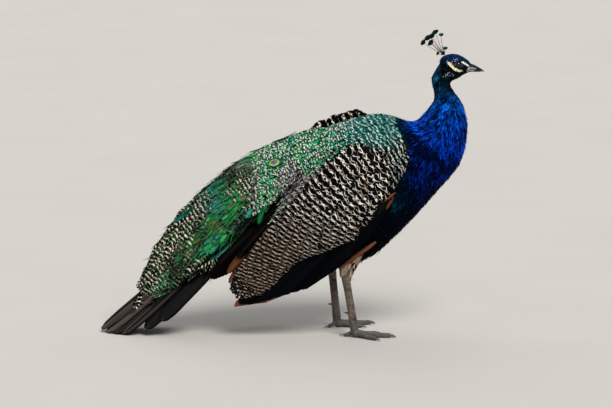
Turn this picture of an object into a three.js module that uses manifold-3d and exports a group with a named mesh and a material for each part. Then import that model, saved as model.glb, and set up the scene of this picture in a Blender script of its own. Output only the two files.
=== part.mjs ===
// An adult male Indian peafowl, life size, standing at rest with its neck up and its train
// and tail sloping down behind it to the floor.
// Millimetres, +Z up, bill towards +X, the bird's right side towards -Y.
// Body, neck, wings, train and feathers are all one kind of shape: a cylinder bent so that
// its sections run between two edges, or along a centre line. manifold-3d joins and cuts.
import * as THREE from 'three';
import { mergeVertices } from 'three/addons/utils/BufferGeometryUtils.js';
import Module from 'manifold-3d';

const wasm = await Module();
wasm.setup();

// ---- Driving dimensions ----
const GAP = 0.35; // clearance between neighbouring pieces
const SLACK = 0.1; // how far a face may move when a cut's slivers are merged
const BODY_AROUND = 16; // facets round the trunk and neck
const EYE_RADIUS = 6.2;
const EYE_PLACE = { x: 225, y: 12.6, z: 569.4 };
const CREST_ROOT = { x: 196, z: 585 };
const CREST_PLUMES = 7; // in the main fan
const CREST_LENGTH = 50;
const CREST_SHAFT = 0.5; // half thickness
const TAIL_FEATHERS = 6; // on each side
const TAIL_HALF_WIDTH = 19; // of one tail feather
const TAIL_TIP_HEIGHT = 0.6; // of the longest feathers' centre lines
const TOES = [ // forward turn in degrees, length without the claw, half thickness
  { name: 'inner', turn: 34, reach: 50, half: 4.6 },
  { name: 'middle', turn: 0, reach: 72, half: 5.2 },
  { name: 'outer', turn: -36, reach: 54, half: 4.6 },
  { name: 'hind', turn: 168, reach: 24, half: 3.8 },
];
const CLAW_LENGTH = 13;
const SPUR_LENGTH = 10;
const LEGS = { // where each foot stands and how far its middle toe turns out
  R: { side: -1, footX: 10, footY: 60, hockX: -13, toeOut: 4 },
  L: { side: 1, footX: -26, footY: 50, hockX: -40, toeOut: 20 },
};
const HOCK_HEIGHT = 152;
const SOLE = 10; // height of the toes' centre line where they leave the leg

// ---- Finishes ----
const finish = (color, roughness, metalness = 0) =>
  new THREE.MeshStandardMaterial({ color, roughness, metalness });
const BLUE = finish(0x123fae, 0.45, 0.3);
const DARK_GREEN = finish(0x0c2a2c, 0.5, 0.2);
const GREEN = finish(0x1f7a55, 0.5, 0.3);
const BARRED = finish(0x8a7f70, 0.75);
const BLACK = finish(0x0b0f16, 0.5, 0.1);
const CHESTNUT = finish(0xa5562e, 0.7);
const BROWN = finish(0x3a302c, 0.7);
const BUFF = finish(0xb49b7c, 0.85);
const HORN = finish(0x8d8880, 0.45);
const LEG_SKIN = finish(0x6f675f, 0.65);
const EYE = finish(0x1a0f0a, 0.1);
const CREST = finish(0x0d3f4a, 0.5, 0.3);

// ---- Bent cylinders ----
const vec = (x, y, z) => new THREE.Vector3(x, y, z);
const curve = (points) => new THREE.CatmullRomCurve3(points, false, 'centripetal');
const lineOf = (values) => curve(values.map((v, i) => vec(i, v, 0)));
const valueAt = (line, t) => line.getPoint(t).y;

// Sections from a lower edge to an upper edge, half a thickness each way.
// fall above 0 puts the widest part low, as in a roof, and below 0 high.
function between(rows, fall = 0) {
  const upper = curve(rows.map((r) => vec(...r.upper)));
  const lower = curve(rows.map((r) => vec(...r.lower)));
  const half = lineOf(rows.map((r) => r.half));
  const middle = (t) => upper.getPoint(t).add(lower.getPoint(t)).multiplyScalar(0.5);
  return (t) => {
    const top = upper.getPoint(t);
    const low = lower.getPoint(t);
    const step = 1e-3;
    const ahead = middle(Math.min(1, t + step)).sub(middle(Math.max(0, t - step)));
    const rise = top.clone().sub(low);
    return {
      centre: middle(t),
      up: rise.clone().normalize(),
      side: ahead.normalize().cross(rise.clone().normalize()).normalize(),
      tall: rise.length() / 2,
      wide: valueAt(half, t),
      fall,
    };
  };
}

// Sections square to a centre line: tall along up, wide across it.
function along(points, talls, wides, up) {
  const centre = curve(points);
  const tall = lineOf(talls);
  const wide = lineOf(wides);
  return (t) => {
    const ahead = centre.getTangent(t);
    const side = ahead.clone().cross(up).normalize();
    return {
      centre: centre.getPoint(t),
      up: side.clone().cross(ahead).normalize(),
      side,
      tall: valueAt(tall, t),
      wide: valueAt(wide, t),
      fall: 0,
    };
  };
}

// How much the widest part of a section with this fall outgrows its middle.
function widest(fall) {
  let most = 1;
  for (let sine = -1; sine <= 1; sine += 0.05) {
    most = Math.max(most, Math.sqrt(1 - sine * sine) * (1 - fall * sine));
  }
  return most;
}

function bent(section, { from = 0, to = 1, grow = 0, around = BODY_AROUND, steps = 12 } = {}) {
  const shape = new THREE.CylinderGeometry(1, 1, 1, around, steps);
  const place = shape.getAttribute('position');
  for (let i = 0; i < place.count; i++) {
    const [cosine, t, sine] = [place.getX(i), place.getY(i) + 0.5, place.getZ(i)];
    const s = section(from + (to - from) * t);
    const across = (cosine * (1 - s.fall * sine) * (s.wide + grow)) / widest(s.fall);
    const past = (t > 0.999 ? grow : 0) - (t < 0.001 ? grow : 0);
    const point = s.centre
      .addScaledVector(s.side, across)
      .addScaledVector(s.up, sine * (s.tall + grow))
      .addScaledVector(s.up.clone().cross(s.side), past);
    place.setXYZ(i, point.x, point.y, point.z);
  }
  return shape;
}

// ---- Joining and cutting ----
function solid(shape) {
  const bare = new THREE.BufferGeometry();
  bare.setAttribute('position', shape.getAttribute('position'));
  bare.setIndex(shape.index);
  const merged = mergeVertices(bare, 1e-4);
  return new wasm.Manifold(
    new wasm.Mesh({
      numProp: 3,
      vertProperties: new Float32Array(merged.attributes.position.array),
      triVerts: new Uint32Array(merged.index.array),
    }),
  );
}

const cut = (whole, ...others) => others.reduce((left, o) => left.subtract(o), whole);
const joined = (pieces) => pieces.reduce((all, piece) => all.add(piece));

// The largest body of a cut solid, which drops slivers that the cut left.
function largest(whole) {
  return whole.decompose().reduce((a, b) => (a.volume() > b.volume() ? a : b));
}

function geometryOf(whole) {
  const mesh = whole.simplify(SLACK).getMesh();
  const shape = new THREE.BufferGeometry();
  const place = new THREE.BufferAttribute(new Float32Array(mesh.vertProperties), 3);
  shape.setAttribute('position', place);
  shape.setIndex(new THREE.BufferAttribute(new Uint32Array(mesh.triVerts), 1));
  shape.computeVertexNormals();
  return shape;
}

const bird = new THREE.Group();
function add(name, whole, material, mirrored = false) {
  const mesh = new THREE.Mesh(geometryOf(whole), material);
  mesh.name = name;
  if (mirrored) mesh.scale.y = -1;
  bird.add(mesh);
}

// A slab that holds everything under the floor.
const FLOOR = solid(new THREE.BoxGeometry(3000, 1000, 200).translate(0, 0, -100));

// ---- Trunk and neck: back edge, belly edge and half width, from rump to throat ----
const row = (back, belly, half) => ({
  upper: [back[0], 0, back[1]],
  lower: [belly[0], 0, belly[1]],
  half,
});
const TRUNK_AND_NECK = [
  row([-165, 372], [-150, 290], 26),
  row([-112, 414], [-92, 222], 56),
  row([-45, 438], [-28, 172], 74),
  row([20, 460], [28, 152], 82),
  row([70, 465], [84, 190], 82),
  row([108, 455], [138, 244], 77),
  row([131, 449], [188, 302], 69),
  row([148, 459], [232, 355], 58),
  row([160, 475], [248, 417], 46),
  row([173, 491], [240, 479], 34),
  row([175, 509], [219, 510], 25),
  row([171, 525], [209, 526], 21),
  row([170, 541], [212, 541], 20),
  row([177, 555], [218, 555], 18),
  row([185.5, 569], [219, 564], 14),
];
const body = between(TRUNK_AND_NECK, -0.12);
const BODY_PARTS = [ // name, first and last row, material
  ['rump', 0, 1, GREEN],
  ['trunk', 1, 5, DARK_GREEN],
  ['breast', 5, 7, BLUE],
  ['neck_lower', 7, 9, BLUE],
  ['neck_upper', 9, 14, BLUE],
];
const LAST_ROW = TRUNK_AND_NECK.length - 1;
const STEPS_A_ROW = 2;
const SEAM = 0.0004; // share of the body line left open each side of a seam
const bodyGrown = solid(bent(body, { grow: 2 * GAP, steps: LAST_ROW * STEPS_A_ROW }));

// ---- Head: crown and throat edges, from the back of the head to the bill ----
const HEAD = [
  row([187, 579], [188, 568], 8),
  row([193, 585.5], [195, 555], 14),
  row([202, 589.3], [203, 542], 18),
  row([213, 591], [213, 534], 19),
  row([224, 589.8], [224, 538.5], 18),
  row([233, 586], [233, 544], 15.5),
  row([241, 580.6], [240, 548], 12.5),
  row([247.5, 575.6], [246.5, 550.5], 9.5),
  row([252.5, 570.3], [250, 553], 7),
];
const headSection = between(HEAD, -0.1);
const headShape = { around: 14, steps: 8 };
const headWhole = solid(bent(headSection, headShape));
const headGrown = solid(bent(headSection, { ...headShape, grow: GAP }));

function eyeball(side, grow = 0) {
  const ball = new THREE.SphereGeometry(EYE_RADIUS + grow, 10, 7);
  return solid(ball.translate(EYE_PLACE.x, side * EYE_PLACE.y, EYE_PLACE.z));
}
add('head', cut(headWhole, eyeball(1, GAP), eyeball(-1, GAP)), BLUE);
add('eye_R', eyeball(-1), EYE);
add('eye_L', eyeball(1), EYE);

for (const [name, first, last, material] of BODY_PARTS) {
  const from = first / LAST_ROW + (first > 0 ? SEAM : 0);
  const to = last / LAST_ROW - (last < LAST_ROW ? SEAM : 0);
  const part = solid(bent(body, { from, to, steps: (last - first) * STEPS_A_ROW }));
  add(name, largest(cut(part, headGrown)), material);
}

// ---- Bill: the upper half hooks over the lower at the tip ----
const upperBill = between([
  row([243, 573], [243, 558], 7.5),
  row([252, 570.3], [252, 557.4], 6.4),
  row([260, 567], [260, 557.2], 5.2),
  row([267, 563], [267, 557], 4),
  row([273.5, 559.2], [273.5, 555.8], 2.6),
  row([279.5, 554.6], [279, 553], 0.8),
], 0.2);
const lowerBill = between([
  row([242, 557], [243, 551.5], 6.5),
  row([252, 556.9], [252, 552.2], 5.4),
  row([260, 556.7], [260, 552.4], 4.2),
  row([267, 556.5], [267, 552.6], 3),
  row([274.5, 554.4], [274.5, 552.8], 1.1),
], -0.2);
add('bill_upper', largest(cut(solid(bent(upperBill, { around: 10, steps: 6 })), headGrown)), HORN);
add('bill_lower', largest(cut(
  solid(bent(lowerBill, { around: 10, steps: 5 })),
  headGrown,
  solid(bent(upperBill, { grow: GAP, around: 10, steps: 6 })),
)), HORN);

// ---- Crest: bare shafts from one pad on the crown, each with a fan at its tip ----
function crestPlume(leanDegrees, swayDegrees, long) {
  const lean = THREE.MathUtils.degToRad(leanDegrees);
  const sway = THREE.MathUtils.degToRad(swayDegrees);
  const way = vec(
    Math.cos(lean) * Math.cos(sway),
    Math.sin(sway),
    Math.sin(lean) * Math.cos(sway),
  );
  const root = vec(CREST_ROOT.x, 0, CREST_ROOT.z);
  const tip = root.clone().addScaledVector(way, long);
  const bow = root.clone().lerp(tip, 0.55).add(vec(-2.5, 0, 2.5));
  const thin = [CREST_SHAFT, CREST_SHAFT, CREST_SHAFT];
  const shaft = along([root, bow, tip], thin, thin, vec(0, 1, 0));
  const fanEnd = tip.clone().addScaledVector(way, 6.5);
  const fanRoot = tip.clone().addScaledVector(way, -1.5);
  const fan = along([fanRoot, tip, fanEnd], [0.6, 3, 2.2], [0.5, 0.7, 0.5], vec(0.3, 1, 0));
  return [
    solid(bent(shaft, { around: 3, steps: 2 })),
    solid(bent(fan, { around: 4, steps: 2 })),
  ];
}
const crestPad = solid(new THREE.SphereGeometry(3.6, 8, 6)
  .translate(CREST_ROOT.x, 0, CREST_ROOT.z + 2));
const plumes = [];
for (let i = 0; i < CREST_PLUMES; i++) {
  const lean = 98 + (52 * i) / (CREST_PLUMES - 1);
  plumes.push(...crestPlume(lean, i % 2 ? 13 : -13, CREST_LENGTH - 3 * (i % 3)));
}
for (const sway of [-62, 62]) {
  for (const lean of [105, 140]) plumes.push(...crestPlume(lean, sway, 0.75 * CREST_LENGTH));
}
add('crest', largest(cut(joined([crestPad, ...plumes]), headGrown)), CREST);

// ---- Train: long feathers of the lower back, lying like a roof over the tail ----
const TRAIN_ROWS = [ // ridge, eave, half width
  [[-62, 440], [-42, 372], 46],
  [[-132, 418], [-105, 318], 70],
  [[-184, 395], [-140, 284], 78],
  [[-232, 369], [-176, 246], 78],
  [[-284, 330], [-220, 198], 74],
  [[-330, 283], [-268, 150], 66],
  [[-374, 236], [-312, 112], 56],
  [[-410, 191], [-350, 88], 45],
  [[-435, 137], [-384, 68], 32],
  [[-448, 92], [-418, 56], 16],
].reverse();
const TRAIN_FALL = 0.55;
const TRAIN_WALL = 11; // thickness at the sides
const TRAIN = between(TRAIN_ROWS.map((r) => row(...r)), TRAIN_FALL);
const PAST_TRAIN = [[-500, 64], [-470, 40], 30]; // where the hollow under it runs out behind
const UNDER_TRAIN = between([PAST_TRAIN, ...TRAIN_ROWS].map(([ridge, eave, half], i) => {
  const depth = 3 + 3 * i; // the train is thinnest at its tip
  const sink = (point, times) => [point[0] + times * 0.7 * depth, point[1] - times * depth];
  return row(sink(ridge, 1), sink(eave, 3), half - TRAIN_WALL);
}), TRAIN_FALL);
const trainShell = (grow) => cut(
  solid(bent(TRAIN, { grow, steps: 9 })),
  solid(bent(UNDER_TRAIN, { grow: -grow, steps: 9 })),
);

// A single long feather: a flat blade from root to tip, tilted like the roof it lies on.
function feather({ root, tip, half, thick, tilt, side, bow = 0 }) {
  const start = vec(...root);
  const end = vec(...tip);
  const middle = start.clone().lerp(end, 0.5).add(vec(0, 0, bow));
  const across = vec(0, side * Math.cos(tilt), -Math.sin(tilt));
  const wide = [0.45, 0.85, 1, 0.95, 0.35].map((share) => share * half);
  const thin = [1, 1, 1, 0.9, 0.6].map((share) => share * thick);
  const path = [start, start.clone().lerp(middle, 0.5), middle, middle.clone().lerp(end, 0.5), end];
  return solid(bent(along(path, wide, thin, across), { around: 4, steps: 3 }));
}

// Loose tips that break the outline of the train, each rooted inside it.
const LOOSE_PLUMES = [ // root, tip and half width, on the right side
  { root: [-170, 0, 385], tip: [-258, 4, 352], half: 9, tilt: 0.5 },
  { root: [-250, 0, 345], tip: [-346, 6, 268], half: 11, tilt: 0.5 },
  { root: [-345, 0, 255], tip: [-400, -4, 203], half: 12, tilt: 0.6 },
];
const loosePlumes = (grow) => [1, -1].flatMap((mirror) => LOOSE_PLUMES.map((p) => feather({
  root: [p.root[0], mirror * p.root[1], p.root[2]],
  tip: [p.tip[0], mirror * p.tip[1], p.tip[2]],
  half: p.half + grow,
  thick: 1.6 + grow,
  tilt: p.tilt,
  side: -mirror,
  bow: 5,
})));

// ---- Tail: a folded fan of stiff feathers whose tips lie on the floor ----
function tailFeather(index, side, grow) {
  const share = index / (TAIL_FEATHERS - 1);
  return feather({
    root: [-170, side * (4 + 22 * share), 308 - 56 * share],
    tip: [
      -522 + 178 * share ** 1.15,
      side * (7 + 58 * share),
      TAIL_TIP_HEIGHT + 48 * share ** 2,
    ],
    half: TAIL_HALF_WIDTH - 3 * share + grow,
    thick: 1.5 + grow,
    tilt: 0.55 + 0.65 * share,
    side,
  });
}

function tail(grow) {
  const root = along(
    [vec(-150, 0, 308), vec(-185, 0, 280), vec(-225, 0, 243)],
    [30, 34, 20],
    [22, 34, 26],
    vec(0, 0, 1),
  );
  const feathers = Array.from({ length: TAIL_FEATHERS }, (_, i) =>
    [tailFeather(i, -1, grow), tailFeather(i, 1, grow)]).flat();
  return joined([solid(bent(root, { grow, around: 12, steps: 4 })), ...feathers]);
}
add('tail', largest(cut(tail(0), bodyGrown, FLOOR)), BROWN);

const train = (grow) => joined([trainShell(grow), ...loosePlumes(grow)]);
const trainGrown = train(GAP);
add('train', largest(cut(train(0), bodyGrown, tail(GAP))), GREEN);

// ---- Wings, folded against the flanks: three layers, the innermost longest ----
const wingRow = (upper, lower, y, half) => ({
  upper: [upper[0], -(y - 14), upper[1]],
  lower: [lower[0], -y, lower[1]],
  half,
});
const SHIELD = between([
  wingRow([116, 420], [128, 398], 68, 6),
  wingRow([62, 446], [120, 374], 76, 20),
  wingRow([4, 428], [98, 323], 84, 25),
  wingRow([-53, 387], [58, 268], 88, 26),
  wingRow([-105, 333], [6, 208], 88, 23),
  wingRow([-147, 284], [-58, 182], 86, 18),
  wingRow([-183, 237], [-111, 160], 85, 13),
  wingRow([-216, 188], [-157, 113], 84, 9),
  wingRow([-244, 145], [-206, 80], 84, 6),
  wingRow([-257, 108], [-248, 92], 84, 3),
].reverse());
const plateRow = (upper, lower, y, half) => ({
  upper: [upper[0], -y, upper[1]],
  lower: [lower[0], -y, lower[1]],
  half,
});
const SECONDARIES = between([
  plateRow([96, 326], [90, 300], 84, 3),
  plateRow([66, 330], [70, 238], 84, 5),
  plateRow([28, 320], [32, 196], 80, 5),
  plateRow([-14, 300], [-12, 158], 76, 5),
  plateRow([-62, 270], [-64, 120], 74, 5),
  plateRow([-112, 220], [-108, 92], 72, 5),
  plateRow([-166, 160], [-164, 77], 72, 5),
  plateRow([-212, 110], [-214, 64], 72, 5),
  plateRow([-236, 84], [-238, 70], 72, 4),
].reverse());
const PRIMARIES = between([
  plateRow([62, 250], [60, 216], 70, 4),
  plateRow([30, 270], [22, 183], 68, 4),
  plateRow([-10, 270], [-24, 148], 65, 4),
  plateRow([-60, 230], [-72, 108], 63, 4),
  plateRow([-110, 190], [-116, 86], 62, 4),
  plateRow([-165, 145], [-168, 70], 62, 4),
  plateRow([-212, 112], [-214, 62], 62, 4),
  plateRow([-244, 118], [-240, 72], 62, 3),
].reverse());
const shieldShape = { around: 12, steps: 9 };
const plateShape = { around: 8, steps: 7 };
const shield = largest(cut(solid(bent(SHIELD, shieldShape)), bodyGrown, trainGrown));
const shieldGrown = solid(bent(SHIELD, { ...shieldShape, grow: GAP }));
const secondaries = largest(cut(
  solid(bent(SECONDARIES, plateShape)), bodyGrown, trainGrown, shieldGrown));
const secondariesGrown = solid(bent(SECONDARIES, { ...plateShape, grow: GAP }));
const primaries = largest(cut(
  solid(bent(PRIMARIES, plateShape)), bodyGrown, trainGrown, shieldGrown, secondariesGrown));
const primariesGrown = solid(bent(PRIMARIES, { ...plateShape, grow: GAP }));
for (const [mark, mirrored] of [['R', false], ['L', true]]) {
  add('wing_shield_' + mark, shield, BARRED, mirrored);
  add('wing_secondaries_' + mark, secondaries, BLACK, mirrored);
  add('wing_primaries_' + mark, primaries, CHESTNUT, mirrored);
}

// ---- Shoulder feathers of the left side, standing a little above the back ----
const ridge = between([
  { upper: [-128, 62, 394], lower: [-118, 60, 372], half: 2 },
  { upper: [-90, 66, 424], lower: [-76, 68, 384], half: 4 },
  { upper: [-40, 62, 449], lower: [-30, 72, 400], half: 5 },
  { upper: [12, 56, 471], lower: [16, 70, 414], half: 5 },
  { upper: [40, 50, 472], lower: [42, 60, 430], half: 3 },
]);
const wingMirror = shieldGrown.mirror([0, 1, 0]);
add('scapulars_L', largest(cut(
  solid(bent(ridge, { around: 8, steps: 5 })), bodyGrown, wingMirror, trainGrown)), BARRED);

// ---- Legs ----
function leg(mark, { side, footX, footY, hockX, toeOut }) {
  const hip = hockX + 48;
  const shankLine = along(
    [
      vec(hockX, side * (footY - 6), HOCK_HEIGHT + 6),
      vec(hockX + 1, side * (footY - 6), HOCK_HEIGHT - 10),
      vec(hockX + (footX - hockX) * 0.35, side * (footY - 4), HOCK_HEIGHT * 0.66),
      vec(hockX + (footX - hockX) * 0.75, side * (footY - 2), HOCK_HEIGHT * 0.3),
      vec(footX, side * footY, SOLE),
    ],
    [8.6, 8.2, 6.6, 6.6, 8.4],
    [7.4, 7, 5.2, 5.4, 7],
    vec(1, 0, 0),
  );
  const shankShape = { around: 10, steps: 6 };
  const shank = solid(bent(shankLine, shankShape));
  const thighLine = along(
    [
      vec(hip, side * 40, 232),
      vec(hip - 14, side * 45, 196),
      vec(hip - 32, side * 50, 162),
      vec(hip - 38, side * 53, 128),
    ],
    [40, 32, 17, 5],
    [20, 19, 13, 5],
    vec(1, 0, 0),
  );
  const wing = (grown) => (side < 0 ? grown : grown.mirror([0, 1, 0]));
  const shankGrown = solid(bent(shankLine, { ...shankShape, grow: GAP }));
  const thigh = cut(
    solid(bent(thighLine, { around: 10, steps: 4 })),
    bodyGrown,
    shankGrown,
    wing(primariesGrown),
    wing(secondariesGrown),
    wing(shieldGrown),
  );
  add('thigh_' + mark, largest(thigh), BUFF);

  const ankle = vec(footX + 2, side * footY, SOLE);
  const toes = [];
  for (const toe of TOES) {
    const turn = THREE.MathUtils.degToRad(side * toeOut - side * toe.turn);
    const way = vec(Math.cos(turn), Math.sin(turn), 0);
    const raised = toe.name === 'hind' ? 6 : 0;
    const at = (share, height) => ankle.clone()
      .addScaledVector(way, toe.reach * share)
      .setZ(height + raised * (1 - share));
    const toeLine = along(
      [at(0, SOLE), at(0.35, toe.half + 1.6), at(0.7, toe.half - 0.4), at(1, toe.half - 0.6)],
      [toe.half + 1.2, toe.half, toe.half - 0.2, toe.half - 1],
      [toe.half + 1, toe.half - 0.2, toe.half - 0.4, toe.half - 1.2],
      vec(0, 0, 1),
    );
    const toeShape = { around: 6, steps: 3 };
    toes.push(solid(bent(toeLine, toeShape)));
    const clawRoot = at(1, toe.half - 0.4).addScaledVector(way, GAP);
    const clawTip = at(1, 0.8).addScaledVector(way, CLAW_LENGTH);
    const clawBow = clawRoot.clone().lerp(clawTip, 0.5).add(vec(0, 0, 1.6));
    const claw = solid(bent(along(
      [clawRoot, clawBow, clawTip],
      [toe.half - 1.6, toe.half - 2.4, 0.5],
      [toe.half - 1.8, toe.half - 2.6, 0.5],
      vec(0, 0, 1),
    ), { around: 6, steps: 3 }));
    const toeGrown = solid(bent(toeLine, { ...toeShape, grow: GAP }));
    add('claw_' + toe.name + '_' + mark, largest(cut(claw, FLOOR, toeGrown)), HORN);
  }
  const pad = solid(new THREE.SphereGeometry(8.6, 10, 6).scale(1.25, 1, 0.9)
    .translate(footX + 4, side * footY, 7));
  const foot = cut(joined([pad, ...toes]), FLOOR, shankGrown);
  add('foot_' + mark, largest(foot), LEG_SKIN);
  add('shank_' + mark, cut(shank, FLOOR), LEG_SKIN);

  const spurRoot = vec(hockX + (footX - hockX) * 0.72 - 6.4, side * (footY - 5), 50);
  const spurTip = spurRoot.clone().add(vec(-SPUR_LENGTH, -side * 3, 1));
  const spur = solid(bent(along(
    [spurRoot, spurRoot.clone().lerp(spurTip, 0.5), spurTip],
    [3, 2.2, 0.4],
    [3, 2.2, 0.4],
    vec(0, 0, 1),
  ), { around: 8, steps: 3 }));
  add('spur_' + mark, largest(cut(spur, shankGrown)), HORN);
}
for (const [mark, stance] of Object.entries(LEGS)) leg(mark, stance);

// ---- Origin: on the floor under the middle of the whole bird ----
const box = new THREE.Box3().setFromObject(bird);
bird.position.set(-(box.min.x + box.max.x) / 2, -(box.min.y + box.max.y) / 2, -box.min.z);

export default bird;
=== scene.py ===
# %% [markdown]
# A life-size museum model of a peacock with a short, moulted train.
# The solid model comes first and is a fixed frame: its named parts say how big and where everything is.
# Here every soft solid gets its real surface: one skin, and over it many thousands of feathers.

# %% Load the frame
import math

import bmesh
import bpy
import numpy as np
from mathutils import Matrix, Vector
from mathutils.bvhtree import BVHTree


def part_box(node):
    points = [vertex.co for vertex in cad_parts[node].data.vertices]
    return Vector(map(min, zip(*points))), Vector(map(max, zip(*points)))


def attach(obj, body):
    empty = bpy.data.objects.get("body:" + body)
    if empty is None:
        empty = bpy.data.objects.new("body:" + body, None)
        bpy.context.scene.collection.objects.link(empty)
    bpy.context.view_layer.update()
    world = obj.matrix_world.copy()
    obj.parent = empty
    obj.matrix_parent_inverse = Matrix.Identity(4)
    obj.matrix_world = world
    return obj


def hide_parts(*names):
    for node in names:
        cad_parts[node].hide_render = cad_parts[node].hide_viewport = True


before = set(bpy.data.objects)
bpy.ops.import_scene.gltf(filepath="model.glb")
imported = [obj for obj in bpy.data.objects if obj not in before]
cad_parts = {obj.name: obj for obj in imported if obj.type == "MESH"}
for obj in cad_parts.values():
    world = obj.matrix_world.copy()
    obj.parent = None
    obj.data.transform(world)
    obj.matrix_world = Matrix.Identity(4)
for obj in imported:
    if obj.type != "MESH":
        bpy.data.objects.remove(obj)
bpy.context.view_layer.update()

MM = 0.001
OUT = {"R": -1, "L": 1}  # which way is outwards on each side


# %% [markdown]
# The camera stands well back with a long lens, as one watches a shy bird: almost level, from its
# right side. A long lens keeps the near and the far wing the same size.

# %% Camera
AIM = Vector((0.030, 0.0, 0.273))
CAMERA_DISTANCE = 7.14
CAMERA_HEIGHT_ANGLE = math.radians(9.5)
LENS_LENGTH = 200
SENSOR_WIDTH = 36
lens = bpy.data.cameras.new("camera")
lens.lens = LENS_LENGTH
lens.sensor_width = SENSOR_WIDTH
lens.clip_end = 100
camera = bpy.data.objects.new("camera", lens)
bpy.context.collection.objects.link(camera)
back_off = Vector((0, -math.cos(CAMERA_HEIGHT_ANGLE), math.sin(CAMERA_HEIGHT_ANGLE)))
camera.location = AIM + back_off * CAMERA_DISTANCE
camera.rotation_euler = (math.pi / 2 - CAMERA_HEIGHT_ANGLE, 0, 0)
bpy.context.scene.camera = camera
print("camera at", [round(v, 3) for v in camera.location])


# %% [markdown]
# A shader node is added by its type, with a dictionary of what goes into its sockets: a plain value, or
# another node's output. All helpers work on the node tree that was opened last, by a material or a group,
# which keeps each recipe short enough to read at a glance.

# %% Helpers for shader nodes
OPEN = {}


def put(value, socket):
    """Links another node's output into a socket, or sets the socket to a plain value or colour."""
    if isinstance(value, bpy.types.NodeSocket):
        OPEN["tree"].links.new(value, socket)
    elif socket.type == "RGBA":
        socket.default_value = (*value, 1)
    else:
        socket.default_value = value


def node(kind, inputs=None, **settings):
    made = OPEN["tree"].nodes.new("ShaderNode" + kind)
    for name, value in settings.items():
        setattr(made, name, value)
    for name, value in (inputs or {}).items():
        put(value, made.inputs[name])
    return made


def calc(operation, a, b=0.0, c=0.0, clamp=False):
    return node("Math", {0: a, 1: b, 2: c}, operation=operation, use_clamp=clamp).outputs[0]


def plus(a, b):
    return calc("ADD", a, b)


def minus(a, b):
    return calc("SUBTRACT", a, b)


def times(a, b, clamp=False):
    return calc("MULTIPLY", a, b, clamp=clamp)


def scaled(value, factor, then):
    """A value times a factor, and then something added."""
    return calc("MULTIPLY_ADD", value, factor, then)


def size_of(value):
    """A value without its sign."""
    return calc("ABSOLUTE", value)


def square(value):
    return times(value, value)


def blend(share, first, second):
    made = node("Mix", data_type="RGBA", clamp_factor=True)
    for name, value in (("Factor_Float", share), ("A_Color", first), ("B_Color", second)):
        put(value, next(s for s in made.inputs if s.identifier == name))
    return next(s for s in made.outputs if s.identifier == "Result_Color")


def ramp(share, stops):
    made = node("ValToRGB", {"Fac": share})
    band = made.color_ramp
    while len(band.elements) > 1:
        band.elements.remove(band.elements[-1])
    for i, (place, colour) in enumerate(stops):
        stop = band.elements[0] if i == 0 else band.elements.new(place)
        stop.position = place
        stop.color = (*colour, 1)
    return made.outputs["Color"]


def smooth(value, low, high):
    """0 at low, 1 at high and a smooth step between; low may be the greater of the two."""
    made = node("MapRange", {"Value": value, "From Min": low, "From Max": high},
                interpolation_type="SMOOTHSTEP", clamp=True)
    return made.outputs["Result"]


def noise(vector, scale, detail=2.0):
    return node("TexNoise", {"Vector": vector, "Scale": scale, "Detail": detail}).outputs["Fac"]


def object_spot():
    return node("TexCoord").outputs["Object"]


def parts_of(vector):
    return node("SeparateXYZ", {0: vector}).outputs


def streaks(spot, scale, detail):
    """Noise drawn out along the axis whose scale is the smallest."""
    return noise(node("Mapping", {"Vector": spot, "Scale": scale}).outputs[0], 1.0, detail)


def own_value(name, output="Fac"):
    """A value kept on the piece's own corners."""
    return node("Attribute", attribute_name=name, attribute_type="GEOMETRY").outputs[output]


def group(name, takes, gives):
    """Opens a new node group, and returns it with its named inputs and outputs."""
    tree = OPEN["tree"] = bpy.data.node_groups.new(name, "ShaderNodeTree")
    for label, kind in takes:
        tree.interface.new_socket(label, in_out="INPUT", socket_type="NodeSocket" + kind)
    for label, kind in gives:
        tree.interface.new_socket(label, in_out="OUTPUT", socket_type="NodeSocket" + kind)
    return tree, tree.nodes.new("NodeGroupInput").outputs, tree.nodes.new("NodeGroupOutput").inputs


def use(shared, **inputs):
    return node("Group", inputs, node_tree=shared).outputs


def material(name, roughness, metallic=0.0, specular=0.5, coat=0.0):
    made = bpy.data.materials.new(name)
    made.use_nodes = True
    OPEN["tree"] = made.node_tree
    sockets = made.node_tree.nodes["Principled BSDF"].inputs
    for label, value in (("Roughness", roughness), ("Metallic", metallic), ("Coat Weight", coat),
                         ("Specular IOR Level", specular), ("Coat Roughness", 0.05)):
        sockets[label].default_value = value
    return made


def finished(made, colour, height=None, strength=0.3, depth=0.4 * MM):
    """Puts a colour on a material, and a relief of this depth where a height is given."""
    sockets = made.node_tree.nodes["Principled BSDF"].inputs
    put(colour, sockets["Base Color"])
    if height is not None:
        relief = node("Bump", {"Height": height, "Strength": strength, "Distance": depth})
        put(relief.outputs["Normal"], sockets["Normal"])
    return made


# %% [markdown]
# The floor is one big plain sheet a hair below the soles, with the faintest mottling, so that nothing
# competes with the bird.

# %% Floor
def object_from(bm, name):
    """Turns a mesh that is still being built into an object at the origin."""
    mesh = bpy.data.meshes.new(name)
    bm.to_mesh(mesh)
    bm.free()
    made = bpy.data.objects.new(name, mesh)
    bpy.context.collection.objects.link(made)
    return made


FLOOR_HALF = 24.0
bm = bmesh.new()
bmesh.ops.create_grid(bm, x_segments=2, y_segments=2, size=FLOOR_HALF)
bmesh.ops.translate(bm, verts=bm.verts, vec=(0, FLOOR_HALF / 2, -0.2 * MM))
floor = object_from(bm, "floor")
pale = material("floor_pale", 0.9, specular=0.2)
mottle = noise(object_spot(), 3.0, 4.0)
floor.data.materials.append(finished(pale, ramp(mottle, [
    (0.3, (0.435, 0.418, 0.392)), (0.7, (0.450, 0.433, 0.407))])))
print("floor", FLOOR_HALF * 2, "m across")


# %% [markdown]
# Light like a bright, hazy day. Two suns with very wide discs give soft shadows and light the whole floor
# evenly: one high on the camera's side, and a weaker one from behind that puts a rim along the neck and the
# train. A pale world fills the shadows.

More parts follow.
